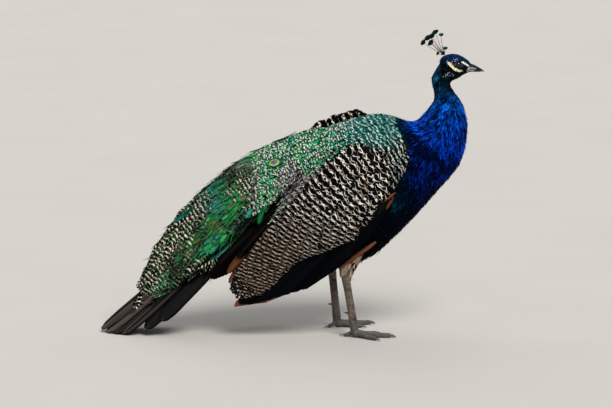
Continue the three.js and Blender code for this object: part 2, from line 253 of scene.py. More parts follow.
# %% Lights
def soft_sun(name, comes_from, strength, disc, colour=(1, 1, 1)):
    light = bpy.data.lights.new(name, "SUN")
    light.energy = strength
    light.angle = math.radians(disc)
    light.color = colour
    made = bpy.data.objects.new(name, light)
    made.rotation_euler = Vector(comes_from).to_track_quat("Z", "Y").to_euler()
    bpy.context.collection.objects.link(made)
    return made


soft_sun("light_key", (0.40, -0.85, 1.15), 3.7, 30, (1.0, 0.98, 0.95))
soft_sun("light_back", (-0.5, 0.9, 1.0), 0.9, 60)
world = bpy.data.worlds.new("studio")
world.use_nodes = True
world.node_tree.nodes["Background"].inputs["Color"].default_value = (0.86, 0.88, 0.90, 1)
world.node_tree.nodes["Background"].inputs["Strength"].default_value = 0.48
bpy.context.scene.world = world
bpy.context.scene.view_settings.view_transform = "Standard"


# %% [markdown]
# Under its feathers a bird is one unbroken skin. The solids of head, neck, breast, trunk, rump and thighs
# are copied and fused on a fine grid, which closes the hairline gaps between them. Then the skin is drawn
# inwards by the depth of the coat, so that the feathers fill the room up to the solids' surface.

# %% Fusing solids into one shell
def fused(name, nodes, voxel, passes):
    """A new shell round copies of these solids, remeshed at this grain and smoothed."""
    bm = bmesh.new()
    for solid in nodes:
        bm.from_mesh(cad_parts[solid].data)
    bmesh.ops.remove_doubles(bm, verts=bm.verts, dist=1e-6)
    made = object_from(bm, name)
    shell = made.modifiers.new("shell", "REMESH")
    shell.mode = "VOXEL"
    shell.voxel_size = voxel
    soften = made.modifiers.new("soften", "SMOOTH")
    soften.factor = 0.5
    soften.iterations = passes
    remeshed = made.evaluated_get(bpy.context.evaluated_depsgraph_get())
    mesh = bpy.data.meshes.new_from_object(remeshed)
    made.modifiers.clear()
    made.data = mesh
    mesh.materials.clear()
    for face in mesh.polygons:
        face.use_smooth = True
    return made


def at(name, along, up, across=0.5):
    """A point in a node's box: shares of its length, height and width."""
    low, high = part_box(name)
    return np.array([low.x + along * (high.x - low.x), low.y + across * (high.y - low.y),
                     low.z + up * (high.z - low.z)])


BODY = ("head", "neck_upper", "neck_lower", "breast", "trunk", "rump")
FLESH = (*BODY, "thigh_R", "thigh_L")
skin = fused("skin", (*FLESH, "eye_R", "eye_L"), 2.6 * MM, 5)
print("skin", len(skin.data.polygons), "faces")


# %% [markdown]
# The head is only as big as a thumb, so its part of the skin is cut finer before lids are made.

# %% Finer skin on the head
def split_near(made, centre, radius):
    """Halves every edge whose two ends are near this centre."""
    bm = bmesh.new()
    bm.from_mesh(made.data)
    near = [e for e in bm.edges if max((v.co - centre).length for v in e.verts) < radius]
    bmesh.ops.subdivide_edges(bm, edges=near, cuts=1, use_grid_fill=True, smooth=0.6)
    for face in bm.faces:
        face.smooth = True
    bm.to_mesh(made.data)
    bm.free()


HEAD_REACH = 44 * MM
EYE_REACH = 17 * MM
split_near(skin, Vector(at("head", 0.5, 0.55)), HEAD_REACH)
for side in ("eye_R", "eye_L"):
    split_near(skin, Vector(at(side, 0.5, 0.5)), EYE_REACH)
print("skin after cutting", len(skin.data.polygons), "faces")


# %% [markdown]
# Thousands of corners are moved faster as one array than one by one. So a mesh's corners are read into an
# array, changed there by sums that hold for all of them, and put back.

# %% Arrays in and out of a mesh
def read_out(items, label):
    flat = np.empty(len(items) * 3)
    items.foreach_get(label, flat)
    return flat.reshape(-1, 3)


def spots(made):
    return read_out(made.data.vertices, "co")


def outward(made):
    return read_out(made.data.vertex_normals, "vector")


def put_back(made, points):
    made.data.vertices.foreach_set("co", np.ascontiguousarray(points).ravel())
    made.data.update()


def store(made, label, values):
    """Keeps a value on each corner, where a finish can read it."""
    made.data.attributes.new(label, "FLOAT", "POINT").data.foreach_set("value", values.astype(np.float32))


def ease(value, low, high):
    """0 below low, 1 above high and a smooth step between."""
    t = np.clip((value - low) / (high - low), 0, 1)
    return t * t * (3 - 2 * t)


print("corners in the skin", len(spots(skin)))


# %% [markdown]
# The coat is some 5 mm deep on the trunk, and less up the neck, until on the face it is a thin nap of
# tiny feathers.

# %% Draw the skin in by the depth of the coat
HEAD_DEPTH = 0.3 * MM
BODY_DEPTH = 4.5 * MM
neck_top = at("neck_upper", 0, 1)[2]
neck_foot = at("neck_lower", 0, 0.3)[2]
points = spots(skin)
down = ease(-points[:, 2], -neck_top, -neck_foot)
depth = HEAD_DEPTH + (BODY_DEPTH - HEAD_DEPTH) * down
thigh_top = at("thigh_R", 0, 0.9)[2]
thigh_foot = at("thigh_R", 0, 0.1)[2]
depth *= 0.25 + 0.75 * ease(points[:, 2], thigh_foot, thigh_top)
put_back(skin, points - outward(skin) * depth[:, None])
print("coat depth mm", round(depth.min() / MM, 2), "to", round(depth.max() / MM, 2))


# %% [markdown]
# The lids are a fold of the skin round the ball: a thick rim where they meet the eye, and an almond
# opening behind which the skin drops away so that only the ball shows.

# %% Eyelids
EYE_BALL = 6.2 * MM
LID_HALF_LONG = math.radians(50)
LID_HALF_TALL = math.radians(37)
LID_TURN = math.radians(-14)


def eye_frame(name):
    """The ball's centre and three axes: forwards, up and out of the head."""
    side = OUT[name[-1]]
    out = Vector((0.22, side, 0.05)).normalized()
    ahead = Vector((math.cos(LID_TURN), 0, math.sin(LID_TURN)))
    ahead = (ahead - out * ahead.dot(out)).normalized()
    up = out.cross(ahead) * side * -1
    return at(name, 0.5, 0.5), np.array(ahead), np.array(up), np.array(out)


def almond(points, name):
    """How far each point is from the lids' edge, 1 on the edge, and its distance from the ball's centre."""
    centre, ahead, up, out = eye_frame(name)
    arm = points - centre
    reach = np.linalg.norm(arm, axis=1)
    arm = arm / np.maximum(reach, 1e-9)[:, None]
    open_angle = np.arccos(np.clip(arm @ out, -1, 1))
    turn = np.arctan2(arm @ up, arm @ ahead)
    long_way = np.cos(turn) / LID_HALF_LONG
    tall_way = np.sin(turn) / LID_HALF_TALL
    edge = 1 / np.sqrt(long_way ** 2 + tall_way ** 2)
    return open_angle / edge, reach, arm


points = spots(skin)
for name in ("eye_R", "eye_L"):
    share, reach, arm = almond(points, name)
    centre = at(name, 0.5, 0.5)
    near = reach < 12 * MM
    rim = EYE_BALL + 0.75 * MM * np.exp(-((share - 1.12) / 0.16) ** 2) + 0.35 * MM
    lidded = np.where(share > 1, np.maximum(reach, rim * ease(-share, -1.9, -1.5)), reach)
    opened = EYE_BALL - 2.2 * MM * ease(-share, -1.02, -0.90) + 0.2 * MM
    wanted = np.where(share > 1.02, lidded, opened)
    points[near] = (centre + arm * wanted[:, None])[near]
put_back(skin, points)
print("lids open", round(math.degrees(LID_HALF_LONG) * 2), "by", round(math.degrees(LID_HALF_TALL) * 2))


# %% [markdown]
# A feather lies back over the next one like a slate on a roof. To lay it, a line is walked over the skin
# from the feather's root in the direction of the coat. That direction comes from a few arrows set on the
# bird; in between, each spot follows its nearest arrows.

# %% Walking over a bed
def bed_of(*shells):
    """A search tree over the faces of one or more shells."""
    corners = []
    faces = []
    for shell in shells:
        first = len(corners)
        corners += [v.co.copy() for v in shell.data.vertices]
        faces += [[first + i for i in f.vertices] for f in shell.data.polygons]
    return BVHTree.FromPolygons(corners, faces)


def nearest(bed, points):
    found = [bed.find_nearest(p) for p in points.tolist()]
    return np.array([f[0] for f in found]), np.array([f[1] for f in found])


def unit(arms):
    return arms / np.maximum(np.linalg.norm(arms, axis=-1, keepdims=True), 1e-9)


def dot(a, b):
    return (a * b).sum(-1, keepdims=True)


def field(name, table):
    """Arrows set by shares of a node's length and height, then the way back and up in the side view."""
    place = np.array([at(name, along, up)[[0, 2]] for along, up, *_ in table])
    return place, unit(np.array([(back, 0, rise) for *_, back, rise in table], dtype=float))


def together(*pairs):
    """Joins pairs of arrays end to end: arrows and their ways, or roots and their normals."""
    return tuple(np.concatenate(parts) for parts in zip(*pairs))


def follow(arrows, points, blur=6 * MM):
    """The way at each point: that of the arrows round it, the nearest ones counting most."""
    place, way = arrows
    gap = np.linalg.norm(points[:, None, [0, 2]] - place, axis=2) + blur
    return unit(gap ** -3.0 @ way)


LIE = {
    "head": ((0.95, 0.75, -1, 0.45), (0.55, 1.0, -1, 0.1), (0.1, 0.85, -1, -0.8), (0.9, 0.4, -1, -0.1),
             (0.6, 0.3, -1, -0.35), (0.25, 0.3, -0.6, -1), (0.7, 0.05, -1, -0.3)),
    "neck_upper": ((0.1, 0.7, -0.05, -1), (0.75, 0.8, -0.2, -1), (0.0, 0.2, -0.2, -1), (0.95, 0.2, 0.25, -1)),
    "neck_lower": ((0.25, 0.95, -0.7, -1), (0.95, 0.75, 0.1, -1), (0.5, 0.5, -0.15, -1),
                   (1.0, 0.3, -0.15, -1), (0.0, 0.75, -1, -0.5)),
    "breast": ((0.9, 0.4, -0.6, -1), (0.5, 0.5, -0.3, -1), (0.6, 0.0, -1, -0.8), (0.15, 1.0, -1, 0),
               (0.1, 0.3, -0.5, -1)),
    "trunk": ((0.6, 0.1, -1, -0.4), (0.2, 0.0, -1, 0.1), (0.5, 0.6, -1, -0.8), (0.85, 1.0, -1, 0.05),
              (0.3, 1.0, -1, -0.3)),
    "rump": ((0.3, 1.0, -1, -0.6), (0.0, 0.0, -1, -0.3)),
    "thigh_R": ((0.9, 0.6, -0.4, -1), (0.2, 0.1, -0.3, -1)),
}
BODY_ARROWS = together(*(field(name, rows) for name, rows in LIE.items()))


def body_lie(points):
    return follow(BODY_ARROWS, points, 4 * MM)


print(len(BODY_ARROWS[0]), "arrows on the body")


# %% [markdown]
# Bars have to meet from one feather to the next. So each region gets a measure that climbs along the lie of
# its feathers, like a ruler bent to follow them, and every feather counts its bars on that ruler.

# %% A bent ruler along the lie
def ruler(arrows, points):
    """Metres along the lie: the quadratic in x and z whose slope fits the arrows best."""
    (x, z), way = arrows[0].T, arrows[1]
    none, one = np.zeros(len(x)), np.ones(len(x))
    rows = np.concatenate([np.stack([one, none, x, z, none], axis=1),
                           np.stack([none, one, none, x, z], axis=1)])
    a, b, c, d, e = np.linalg.lstsq(rows, np.concatenate([way[:, 0], way[:, 2]]), rcond=None)[0]
    x, z = points[:, 0], points[:, 2]
    return a * x + b * z + c * x * x / 2 + d * x * z + e * z * z / 2


def turns_on(arrows, start, stops, periods):
    """A function of points that counts bars from a start, with their spacing set at some stops."""
    origin = ruler(arrows, np.array([start]))[0]
    grid = np.linspace(-0.15, 0.75, 400)
    count = np.cumsum((grid[1] - grid[0]) / np.interp(grid, stops, periods))
    return lambda points: np.interp(ruler(arrows, points) - origin, grid, count)


print("ruler ready")


# %% [markdown]
# Roots are scattered at random, and one that falls too close to another is dropped, which gives the even
# but unruly spacing of real down. Each roll of the dice is seeded, so the bird is the same every time.

# %% Scattering roots
def scatter(shell, gap, seed, keep=None, tries=5.0):
    """Root places and their normals on a shell, no two nearer than gap, where keep() says yes."""
    rng = np.random.default_rng(seed)
    mesh = shell.data
    mesh.calc_loop_triangles()
    corners = np.empty(len(mesh.loop_triangles) * 3, dtype=int)
    mesh.loop_triangles.foreach_get("vertices", corners)
    tri = spots(shell)[corners.reshape(-1, 3)]
    turned = np.cross(tri[:, 1] - tri[:, 0], tri[:, 2] - tri[:, 0])
    area = np.linalg.norm(turned, axis=1) / 2
    if keep is not None:
        area = area * keep(tri.mean(axis=1), unit(turned))
    count = int(area.sum() / gap ** 2 * tries)
    pick = rng.choice(len(area), count, p=area / area.sum())
    share = rng.random((count, 2))
    fold = share.sum(1) > 1
    share[fold] = 1 - share[fold]
    points = (tri[pick, 0] + share[:, :1] * (tri[pick, 1] - tri[pick, 0])
              + share[:, 1:] * (tri[pick, 2] - tri[pick, 0]))
    chosen = spread_apart(points, gap)
    return points[chosen], unit(turned[pick[chosen]])


def spread_apart(points, gap):
    """The numbers of the points that are kept when each must stay this far from those kept before."""
    cells = np.floor(points / gap).astype(int).tolist()
    places = points.tolist()
    taken = {}
    chosen = []
    around = [(i, j, k) for i in (-1, 0, 1) for j in (-1, 0, 1) for k in (-1, 0, 1)]
    for index, ((a, b, c), place) in enumerate(zip(cells, places)):
        neighbours = (other for i, j, k in around for other in taken.get((a + i, b + j, c + k), ()))
        if not any(math.dist(place, other) < gap for other in neighbours):
            taken.setdefault((a, b, c), []).append(place)
            chosen.append(index)
    return np.array(chosen)


def wobble(points, size, seed):
    """A smooth random value near 0 for each point, which changes over about this distance."""
    rng = np.random.default_rng(seed)
    total = np.zeros(len(points))
    for _ in range(6):
        wave = unit(rng.normal(size=3)) * 2 * math.pi / size * rng.uniform(0.6, 1.4)
        total += np.sin(points @ wave + rng.uniform(0, 6.3))
    return total / 3.5


# %% [markdown]
# One feather is a closed blade: rings of four or eight corners from root to tip, thin as card, bowed across
# like a shoehorn. All feathers of a tract share one list of faces, so a whole tract becomes one mesh.
# The bake map gives every feather its own small patch, set out in the order of the roots on the skin.

# %% Blades
THIN = ((-1, 0), (0, 1), (1, 0), (0, -1))
SHAFTED = ((-1, 0), (-0.5, 0.8), (-0.06, 1), (0, 1.9), (0.06, 1), (0.5, 0.8), (1, 0), (0, -1))
SHAPES = {  # how far along each ring is, and how wide there
    "tuft": ((0, 0.4), (0.45, 1), (1, 0.15)),
    "strand": ((0, 0.45), (0.35, 1), (0.75, 0.75), (1, 0.08)),
    "scale": ((0, 0.35), (0.35, 0.9), (0.65, 1), (0.88, 0.72), (1, 0.2)),
    "quill": ((0, 0.4), (0.15, 0.8), (0.4, 1), (0.65, 1), (0.85, 0.85), (0.95, 0.55), (1, 0.12)),
    "worn": ((0, 0.4), (0.15, 0.8), (0.4, 1), (0.7, 1), (0.9, 0.95), (0.97, 0.75), (1, 0.3)),
    "plume": ((0, 0.3), (0.25, 0.7), (0.5, 0.95), (0.72, 1), (0.88, 0.8), (0.96, 0.5), (1, 0.1)),
}


def blade_faces(rings, sides):
    """Corner numbers of one blade's faces, and each corner's place on the blade's own flat patch."""
    faces = []
    patch = []
    for k in range(rings - 1):
        for j in range(sides):
            faces.append((k * sides + (j + 1) % sides, k * sides + j,
                          (k + 1) * sides + j, (k + 1) * sides + (j + 1) % sides))
            left, right = j / sides, (j + 1) / sides
            low, high = (0.08 + 0.84 * ring / (rings - 1) for ring in (k, k + 1))
            patch.append(((right, low), (left, low), (left, high), (right, high)))
    return faces, patch


def cap_faces(rings, sides):
    """The two ends: fans of four-cornered faces, as a blade has an even number of sides."""
    faces = []
    patch = []
    for ring, low in ((0, 0.0), (rings - 1, 0.94)):
        first = ring * sides
        for j in range(1, sides - 1, 2):
            corners = [first, first + j, first + j + 1, first + j + 2]
            if ring:
                corners = corners[::-1]
            faces.append(tuple(corners))
            left = j / sides
            patch.append(((left, low), (left + 0.15, low), (left + 0.15, low + 0.05), (left, low + 0.05)))
    return faces, patch


def bake_cells(flat):
    """A cell for each root on a square sheet: columns in order of the first measure, rows of the second."""
    count = len(flat)
    span = np.ptp(flat, axis=0) + 1e-9
    fewest, most = math.ceil(count ** 0.5 / 2.5), min(count, math.ceil(count ** 0.5 * 2.5))
    columns = int(np.clip(round(math.sqrt(count * span[0] / span[1])), fewest, most))
    order = np.argsort(flat[:, 0], kind="stable")
    cells = np.empty((count, 4))
    for column, members in enumerate(np.array_split(order, columns)):
        ranked = members[np.argsort(flat[members, 1], kind="stable")]
        for row, who in enumerate(ranked):
            cells[who] = (column / columns, row / len(ranked), 1 / columns, 1 / len(ranked))
    return cells


print({shape: len(rings) for shape, rings in SHAPES.items()}, "rings")


# %% [markdown]
# To lay a tract, all its feathers take their steps over the bed together, ring by ring. Each step follows
# the lie and drops onto the bed, but a feather that reaches the bed's end goes straight on. Then the ring's
# corners are set across the line, higher towards the tip, so that each feather rests on the next.

# %% Laying feathers
def outline(shape, section, half, thick, camber, thinning):
    """Where the rings are, and how far each corner lies beside the shaft and above it."""
    shares, widths = np.array(SHAPES[shape]).T
    x, y = np.array(section, dtype=float).T
    width = half[:, None, None] * widths[None, :, None] * x
    bow = -camber * np.abs(width) * np.abs(x) + thick * y * (1 - thinning * shares[:, None])
    return shares, width, bow


def lay(name, bed, roots, normals, lie, length, half, shape="scale", section=THIN, thick=0.25 * MM,
        lift=1.5 * MM, camber=0.15, sink=0.6 * MM, twist=8.0, ragged=0.12, hold=1.0, hug=False,
        unwrap=None, seed=1, **facts):
    """One mesh of feathers: each walks from its root over the bed, rising a little towards its tip.

    lie gives the way to point at any place. length and half, which is half the width, are one number or one
    for each feather. hold says how fully each step drops onto the bed, and hug lays the edges on it too.
    """
    rng = np.random.default_rng(seed)
    count = len(roots)
    length = np.broadcast_to(length, count) * (1 + ragged * rng.uniform(-1, 1, count))
    half = np.broadcast_to(half, count) * (1 + 0.6 * ragged * rng.uniform(-1, 1, count))
    rise = np.broadcast_to(lift, count) * rng.uniform(0.6, 1.4, count)
    turn = np.radians(twist) * rng.normal(size=(count, 1))
    shares, width, bow = outline(shape, section, half, thick, camber, 0.4)
    line = [roots]
    ups = [normals]
    for k in range(1, len(shares)):
        place, up = line[-1], ups[-1]
        way = lie(place)
        way = unit(way - up * dot(way, up))
        way = way * np.cos(turn) + np.cross(up, way) * np.sin(turn)
        step = (length * (shares[k] - shares[k - 1]))[:, None]
        ahead = place + way * step
        found, facing = nearest(bed, ahead)
        strayed = np.linalg.norm(found - ahead, axis=1, keepdims=True) > 0.4 * step
        turned = dot(facing, up) < 0.2
        free = strayed | turned
        line.append(np.where(free, ahead, ahead + (found - ahead) * hold))
        ups.append(unit(np.where(free, up, up * 0.35 + facing)))
    line = np.stack(line, axis=1)
    ups = np.stack(ups, axis=1)
    ahead = unit(np.gradient(line, axis=1))
    ups = unit(ups - ahead * dot(ups, ahead))
    side = np.cross(ups, ahead)
    height = (rise[:, None] * shares ** 1.2 - sink * (1 - shares) ** 3)[:, :, None]
    flat = line[:, :, None] + side[:, :, None] * width[..., None]
    if hug:
        found, facing = nearest(bed, flat.reshape(-1, 3))
        gap = np.linalg.norm(found - flat.reshape(-1, 3), axis=1, keepdims=True)
        near = (gap < 6 * MM) & (dot(facing, np.repeat(ups.reshape(-1, 3), len(section), axis=0)) > 0.3)
        flat = np.where(near, found, flat.reshape(-1, 3)).reshape(flat.shape)
    corners = flat + ups[:, :, None] * (height + bow)[..., None]
    return joined(name, corners.reshape(count, -1, 3), shares, section, roots,
                  unwrap or body_unwrap, rng, facts)


def joined(name, corners, shares, section, roots, unwrap, rng, facts):
    """Puts blades with the same rings and sides into one mesh, with their maps and their own values.

    A fact is one value for each feather, or a function that works one out at every corner.
    """
    count, per_blade = corners.shape[:2]
    corners[..., 2] = np.maximum(corners[..., 2], 0.3 * MM)
    rings = len(shares)
    sides = len(section)
    faces, patch = blade_faces(rings, sides)
    more_faces, more_patch = cap_faces(rings, sides)
    faces = np.array(faces + more_faces)
    patch = np.array(patch + more_patch)
    every = (np.arange(count)[:, None, None] * per_blade + faces).reshape(-1, 4)
    mesh = bpy.data.meshes.new(name)
    mesh.vertices.add(count * per_blade)
    mesh.vertices.foreach_set("co", corners.ravel())
    mesh.loops.add(every.size)
    mesh.loops.foreach_set("vertex_index", every.ravel())
    mesh.polygons.add(len(every))
    mesh.polygons.foreach_set("loop_start", np.arange(0, every.size, 4))
    mesh.polygons.foreach_set("use_smooth", np.ones(len(every), dtype=bool))
    mesh.update(calc_edges=True)
    across = (np.array(section, dtype=float)[:, 0] + 1) / 2
    vane = np.stack(np.broadcast_arrays(across[None, :], shares[:, None]), axis=-1).reshape(-1, 2)
    layer = mesh.uv_layers.new(name="Vane", do_init=False)
    layer.uv.foreach_set("vector", np.tile(vane[faces.ravel()], (count, 1)).astype(np.float32).ravel())
    cells = bake_cells(unwrap(roots))[:, None, None]
    spread = cells[..., :2] + (0.06 + 0.88 * patch[None]) * cells[..., 2:]
    layer = mesh.uv_layers.new(name="OFBake", do_init=False)
    layer.uv.foreach_set("vector", spread.astype(np.float32).ravel())
    made = bpy.data.objects.new(name, mesh)
    bpy.context.collection.objects.link(made)
    for label, values in {"tone": rng.random(count), **facts}.items():
        if callable(values):
            values = values(corners.reshape(-1, 3))
        store(made, label, np.repeat(values, count * per_blade // len(values)))
    home = mesh.attributes.new("root", "FLOAT_VECTOR", "POINT")
    home.data.foreach_set("vector", np.repeat(roots, per_blade, axis=0).astype(np.float32).ravel())
    print(name, count, "feathers,", 2 * len(faces) * count, "triangles")
    return made


def body_unwrap(points):
    """The body like a label round a bottle: its height and length one way, round it the other."""
    spine_height = 0.35 + 0.12 * np.clip(points[:, 0] / 0.3, 0, 1)
    far = np.arctan2(points[:, 1], points[:, 2] - spine_height)
    return np.stack([points[:, 2] + 0.6 * points[:, 0], far / 10], axis=1)


def neck_unwrap(points):
    middle = np.interp(points[:, 2], [0.3, 0.42, 0.5, 0.6], [0.28, 0.30, 0.325, 0.335])
    return np.stack([points[:, 2], np.arctan2(points[:, 1], points[:, 0] - middle) / 20], axis=1)


def side_unwrap(points):
    """The side view, with the two sides of the bird next to each other."""
    return points[:, [0, 2]] + 0.2 * (points[:, 1:2] > 0)


# %% [markdown]
# Stiff feathers don't follow a bed. Each is a blade that runs straight from its root to its tip, with its
# middle raised a little where it should arch.

# %% Straight feathers
def straight(name, starts, ends, across, half, shape="quill", section=SHAFTED, thick=0.4 * MM, bow=0.0,
             camber=0.10, unwrap=side_unwrap, seed=1, **facts):
    """Blades from start to end. across is the way from the shaft to one edge; bow lifts the middle."""
    rng = np.random.default_rng(seed)
    starts, ends, across = (np.asarray(a, dtype=float) for a in (starts, ends, across))
    count = len(starts)
    shares, width, height = outline(shape, section, np.broadcast_to(half, count), thick, camber, 0.5)
    arm = ends - starts
    ahead = unit(arm)
    across = unit(across - ahead * dot(across, ahead))
    ups = np.cross(ahead, across)
    arch = (4 * shares * (1 - shares))[None, :, None]
    line = starts[:, None] + arm[:, None] * shares[None, :, None]
    line = line + ups[:, None] * arch * np.broadcast_to(bow, count)[:, None, None]
    corners = line[:, :, None] - across[:, None, None] * width[..., None]
    corners = corners + ups[:, None, None] * height[..., None]
    return joined(name, corners.reshape(count, -1, 3), shares, section, starts, unwrap, rng, facts)


# %% [markdown]
# The folded wings and the train are beds of their own. Each is fused from its solids and shrunk a little,
# is painted nearly black as shade under the feathers, and gives them something smooth to lie on.

# %% Beds of wings and train
def shrunk(made, depth):
    """Draws a shell in by one depth, or by a depth for each corner."""
    put_back(made, spots(made) - outward(made) * np.reshape(depth, (-1, 1)))
    return made


def largest_island(made):
    """Keeps only the largest of a mesh's separate shells."""
    bm = bmesh.new()
    bm.from_mesh(made.data)
    left = set(bm.verts)
    islands = []
    while left:
        stack = [left.pop()]
        island = list(stack)
        while stack:
            for edge in stack.pop().link_edges:
                for corner in edge.verts:
                    if corner in left:
                        left.remove(corner)
                        stack.append(corner)
                        island.append(corner)
        islands.append(island)
    islands.sort(key=len)
    for island in islands[:-1]:
        bmesh.ops.delete(bm, geom=island, context="VERTS")
    bm.to_mesh(made.data)
    bm.free()
    return made


def cut_short(made, x):
    """Takes away what lies in front of x and closes the cut."""
    bm = bmesh.new()
    bm.from_mesh(made.data)
    everything = bm.verts[:] + bm.edges[:] + bm.faces[:]
    bmesh.ops.bisect_plane(bm, geom=everything, plane_co=(x, 0, 0), plane_no=(1, 0, 0), clear_outer=True)
    bmesh.ops.holes_fill(bm, edges=[e for e in bm.edges if e.is_boundary], sides=0)
    bmesh.ops.triangulate(bm, faces=[f for f in bm.faces if len(f.verts) > 4])
    bmesh.ops.recalc_face_normals(bm, faces=bm.faces[:])
    bm.to_mesh(made.data)
    bm.free()
    return made


WING_DEPTH = 3.5 * MM
TRAIN_DEPTH = 5.0 * MM
wing_bed = {}
for mark in "RL":
    nodes = ["wing_shield_" + mark, "wing_secondaries_" + mark]
    made = fused("wing_bed_" + mark, nodes, 3.5 * MM, 4)
    wing_bed[mark] = shrunk(made, WING_DEPTH + 4 * MM * ease(spots(made)[:, 0], 0.205, 0.24))
    largest_island(wing_bed[mark])
train_bed = fused("train_bed", ["train"], 4.0 * MM, 6)
train_bed = largest_island(cut_short(shrunk(train_bed, TRAIN_DEPTH), at("train", 0.76, 0)[0]))
print("train bed", len(train_bed.data.polygons), "faces")
wing_trees = {mark: bed_of(wing_bed[mark]) for mark in "RL"}
skin_bed = bed_of(skin)
train_tree = bed_of(train_bed)


# %% [markdown]
# Shader groups hold what several finishes share. The first one reads a feather's own map: how far a spot
# is from the shaft and from the tip, with the fine comb of barbs that slants away from the shaft.

# %% Shader group for a feather's own pattern
def feather_group():
    tree, takes, gives = group("feather_make", [("Barbs", "Float")], [
        ("Across", "Float"), ("Along", "Float"), ("Tone", "Float"), ("Root", "Vector"), ("To tip", "Float"),
        ("Strand", "Float"), ("Height", "Float"), ("Shaft", "Float")])
    flat = parts_of(node("UVMap", uv_map="Vane").outputs[0])
    tone = own_value("tone")
    off_shaft = size_of(scaled(flat[0], 2.0, -1.0))
    slant = scaled(off_shaft, -0.25, flat[1])
    comb = calc("SINE", times(slant, takes["Barbs"]))
    place = node("CombineXYZ", {0: times(flat[0], 9.0), 1: times(flat[1], 1.6), 2: times(tone, 57.0)})
    strand = noise(place.outputs[0], 1.0)
    shaft = smooth(off_shaft, 0.10, 0.02)
    height = plus(times(comb, 0.15), strand)
    for label, value in (("Across", flat[0]), ("Along", flat[1]), ("Tone", tone), ("Strand", strand),
                         ("Root", own_value("root", "Vector")), ("Height", plus(height, shaft)),
                         ("To tip", times(minus(1.0, flat[1]), own_value("long"))), ("Shaft", shaft)):
        put(value, gives[label])
    return tree


FEATHER = feather_group()
print("feather group nodes", len(FEATHER.nodes))


# %% [markdown]
# Down the neck the blue shifts with height: royal on the crown, a near-black mask and throat, cobalt on the
# neck, then navy, and black with a green shine on the belly. The nape and the edge of the shoulder are teal.
# Each height has a deep and a lit colour, because the structure in real feathers flashes as they turn. Skin
# and coat share this group.

# %% Shader group for the blues
def blues_group():
    tree, takes, gives = group("neck_blues", [("Spot", "Vector"), ("Lit", "Float")], [("Colour", "Color")])
    xyz = parts_of(takes["Spot"])
    x, z = xyz["X"], xyz["Z"]
    ragged = scaled(noise(takes["Spot"], 60.0), 0.024, -0.012)
    calm = scaled(smooth(z, 0.56, 0.52), 0.8, 0.2)
    height = scaled(ragged, calm, z)
    brow = calc("MAXIMUM", minus(x, 0.350), 0.0)
    height = scaled(brow, 0.62, height)
    share = node("MapRange", {"Value": height, "From Min": 0.15, "From Max": 0.60}).outputs[0]
    deep = ramp(share, [
        (0.00, (0.0010, 0.0015, 0.0015)), (0.22, (0.0005, 0.0022, 0.005)), (0.40, (0.0003, 0.002, 0.013)),
        (0.60, (0.0004, 0.004, 0.028)), (0.74, (0.0005, 0.006, 0.040)), (0.82, (0.0003, 0.0015, 0.004)),
        (0.93, (0.0003, 0.0012, 0.0015)), (0.955, (0.0003, 0.0022, 0.020)), (1.00, (0.0003, 0.0025, 0.024))])
    lit = ramp(share, [
        (0.00, (0.006, 0.009, 0.008)), (0.16, (0.002, 0.020, 0.028)), (0.30, (0.0015, 0.014, 0.08)),
        (0.44, (0.0012, 0.026, 0.30)), (0.56, (0.002, 0.072, 0.86)), (0.68, (0.003, 0.125, 1.0)),
        (0.765, (0.005, 0.20, 0.95)), (0.80, (0.004, 0.05, 0.15)), (0.84, (0.003, 0.014, 0.028)),
        (0.93, (0.006, 0.014, 0.017)), (0.955, (0.004, 0.045, 0.17)), (1.00, (0.005, 0.055, 0.20))])
    colour = blend(takes["Lit"], deep, lit)
    behind = smooth(scaled(ragged, 0.5, x), 0.316, 0.300)
    behind = times(behind, smooth(z, 0.500, 0.530))
    nape = blend(takes["Lit"], (0.0005, 0.006, 0.020), (0.014, 0.17, 0.34))
    colour = blend(behind, colour, nape)
    shoulder = smooth(plus(ragged, x), 0.262, 0.222)
    upper = smooth(z, 0.395, 0.43)
    # The shoulder's teal is painted brighter higher up: a painted sheen.
    glow = blend(upper, (0.005, 0.075, 0.10), (0.008, 0.15, 0.16))
    teal = blend(takes["Lit"], (0.0008, 0.006, 0.010), glow)
    shoulder = times(times(shoulder, smooth(z, 0.24, 0.30)), scaled(upper, 0.3, 0.6))
    put(blend(shoulder, colour, teal), gives["Colour"])
    return tree


BLUES = blues_group()
print("blues group nodes", len(BLUES.nodes))


# %% [markdown]
# Wings, shoulders and part of the train are barred. The count of bars comes from the bent ruler. Each turn
# is a dark lozenge, thickest at the shaft, between two pale lines, and where the next lozenge's line comes
# close only a dark thread is left between them. Noise makes the lines wander.

# %% Shader group for bars
def bars_group():
    tree, takes, gives = group("wavy_bars", [
        ("Turns", "Float"), ("Across", "Float"), ("Spot", "Vector"), ("Bow", "Float"), ("Dark", "Float"),
        ("Line", "Float"), ("Pinch", "Float"), ("Waver", "Float")], [("Mask", "Float")])
    off_shaft = scaled(takes["Across"], 2.0, -1.0)
    off_square = square(off_shaft)
    wide = scaled(noise(takes["Spot"], 65.0, 1.0), 3.2, -1.6)
    fine = scaled(noise(takes["Spot"], 200.0, 1.0), 0.8, -0.4)
    broad = scaled(noise(takes["Spot"], 24.0, 1.0), 3.0, -1.5)
    waver = times(plus(plus(wide, fine), broad), takes["Waver"])
    turn = plus(scaled(off_square, takes["Bow"], takes["Turns"]), waver)
    off = size_of(minus(calc("FRACT", turn), 0.5))
    swell = scaled(noise(takes["Spot"], 130.0, 1.0), 1.2, 0.4)
    pinched = minus(1.0, times(off_square, takes["Pinch"]))
    dark = times(takes["Dark"], times(pinched, swell))
    half_line = times(takes["Line"], 0.5)
    middle = plus(dark, half_line)
    away = minus(size_of(minus(off, middle)), half_line)
    put(smooth(away, 0.035, -0.035), gives["Mask"])
    return tree


BARS = bars_group()
print("bars group nodes", len(BARS.nodes))
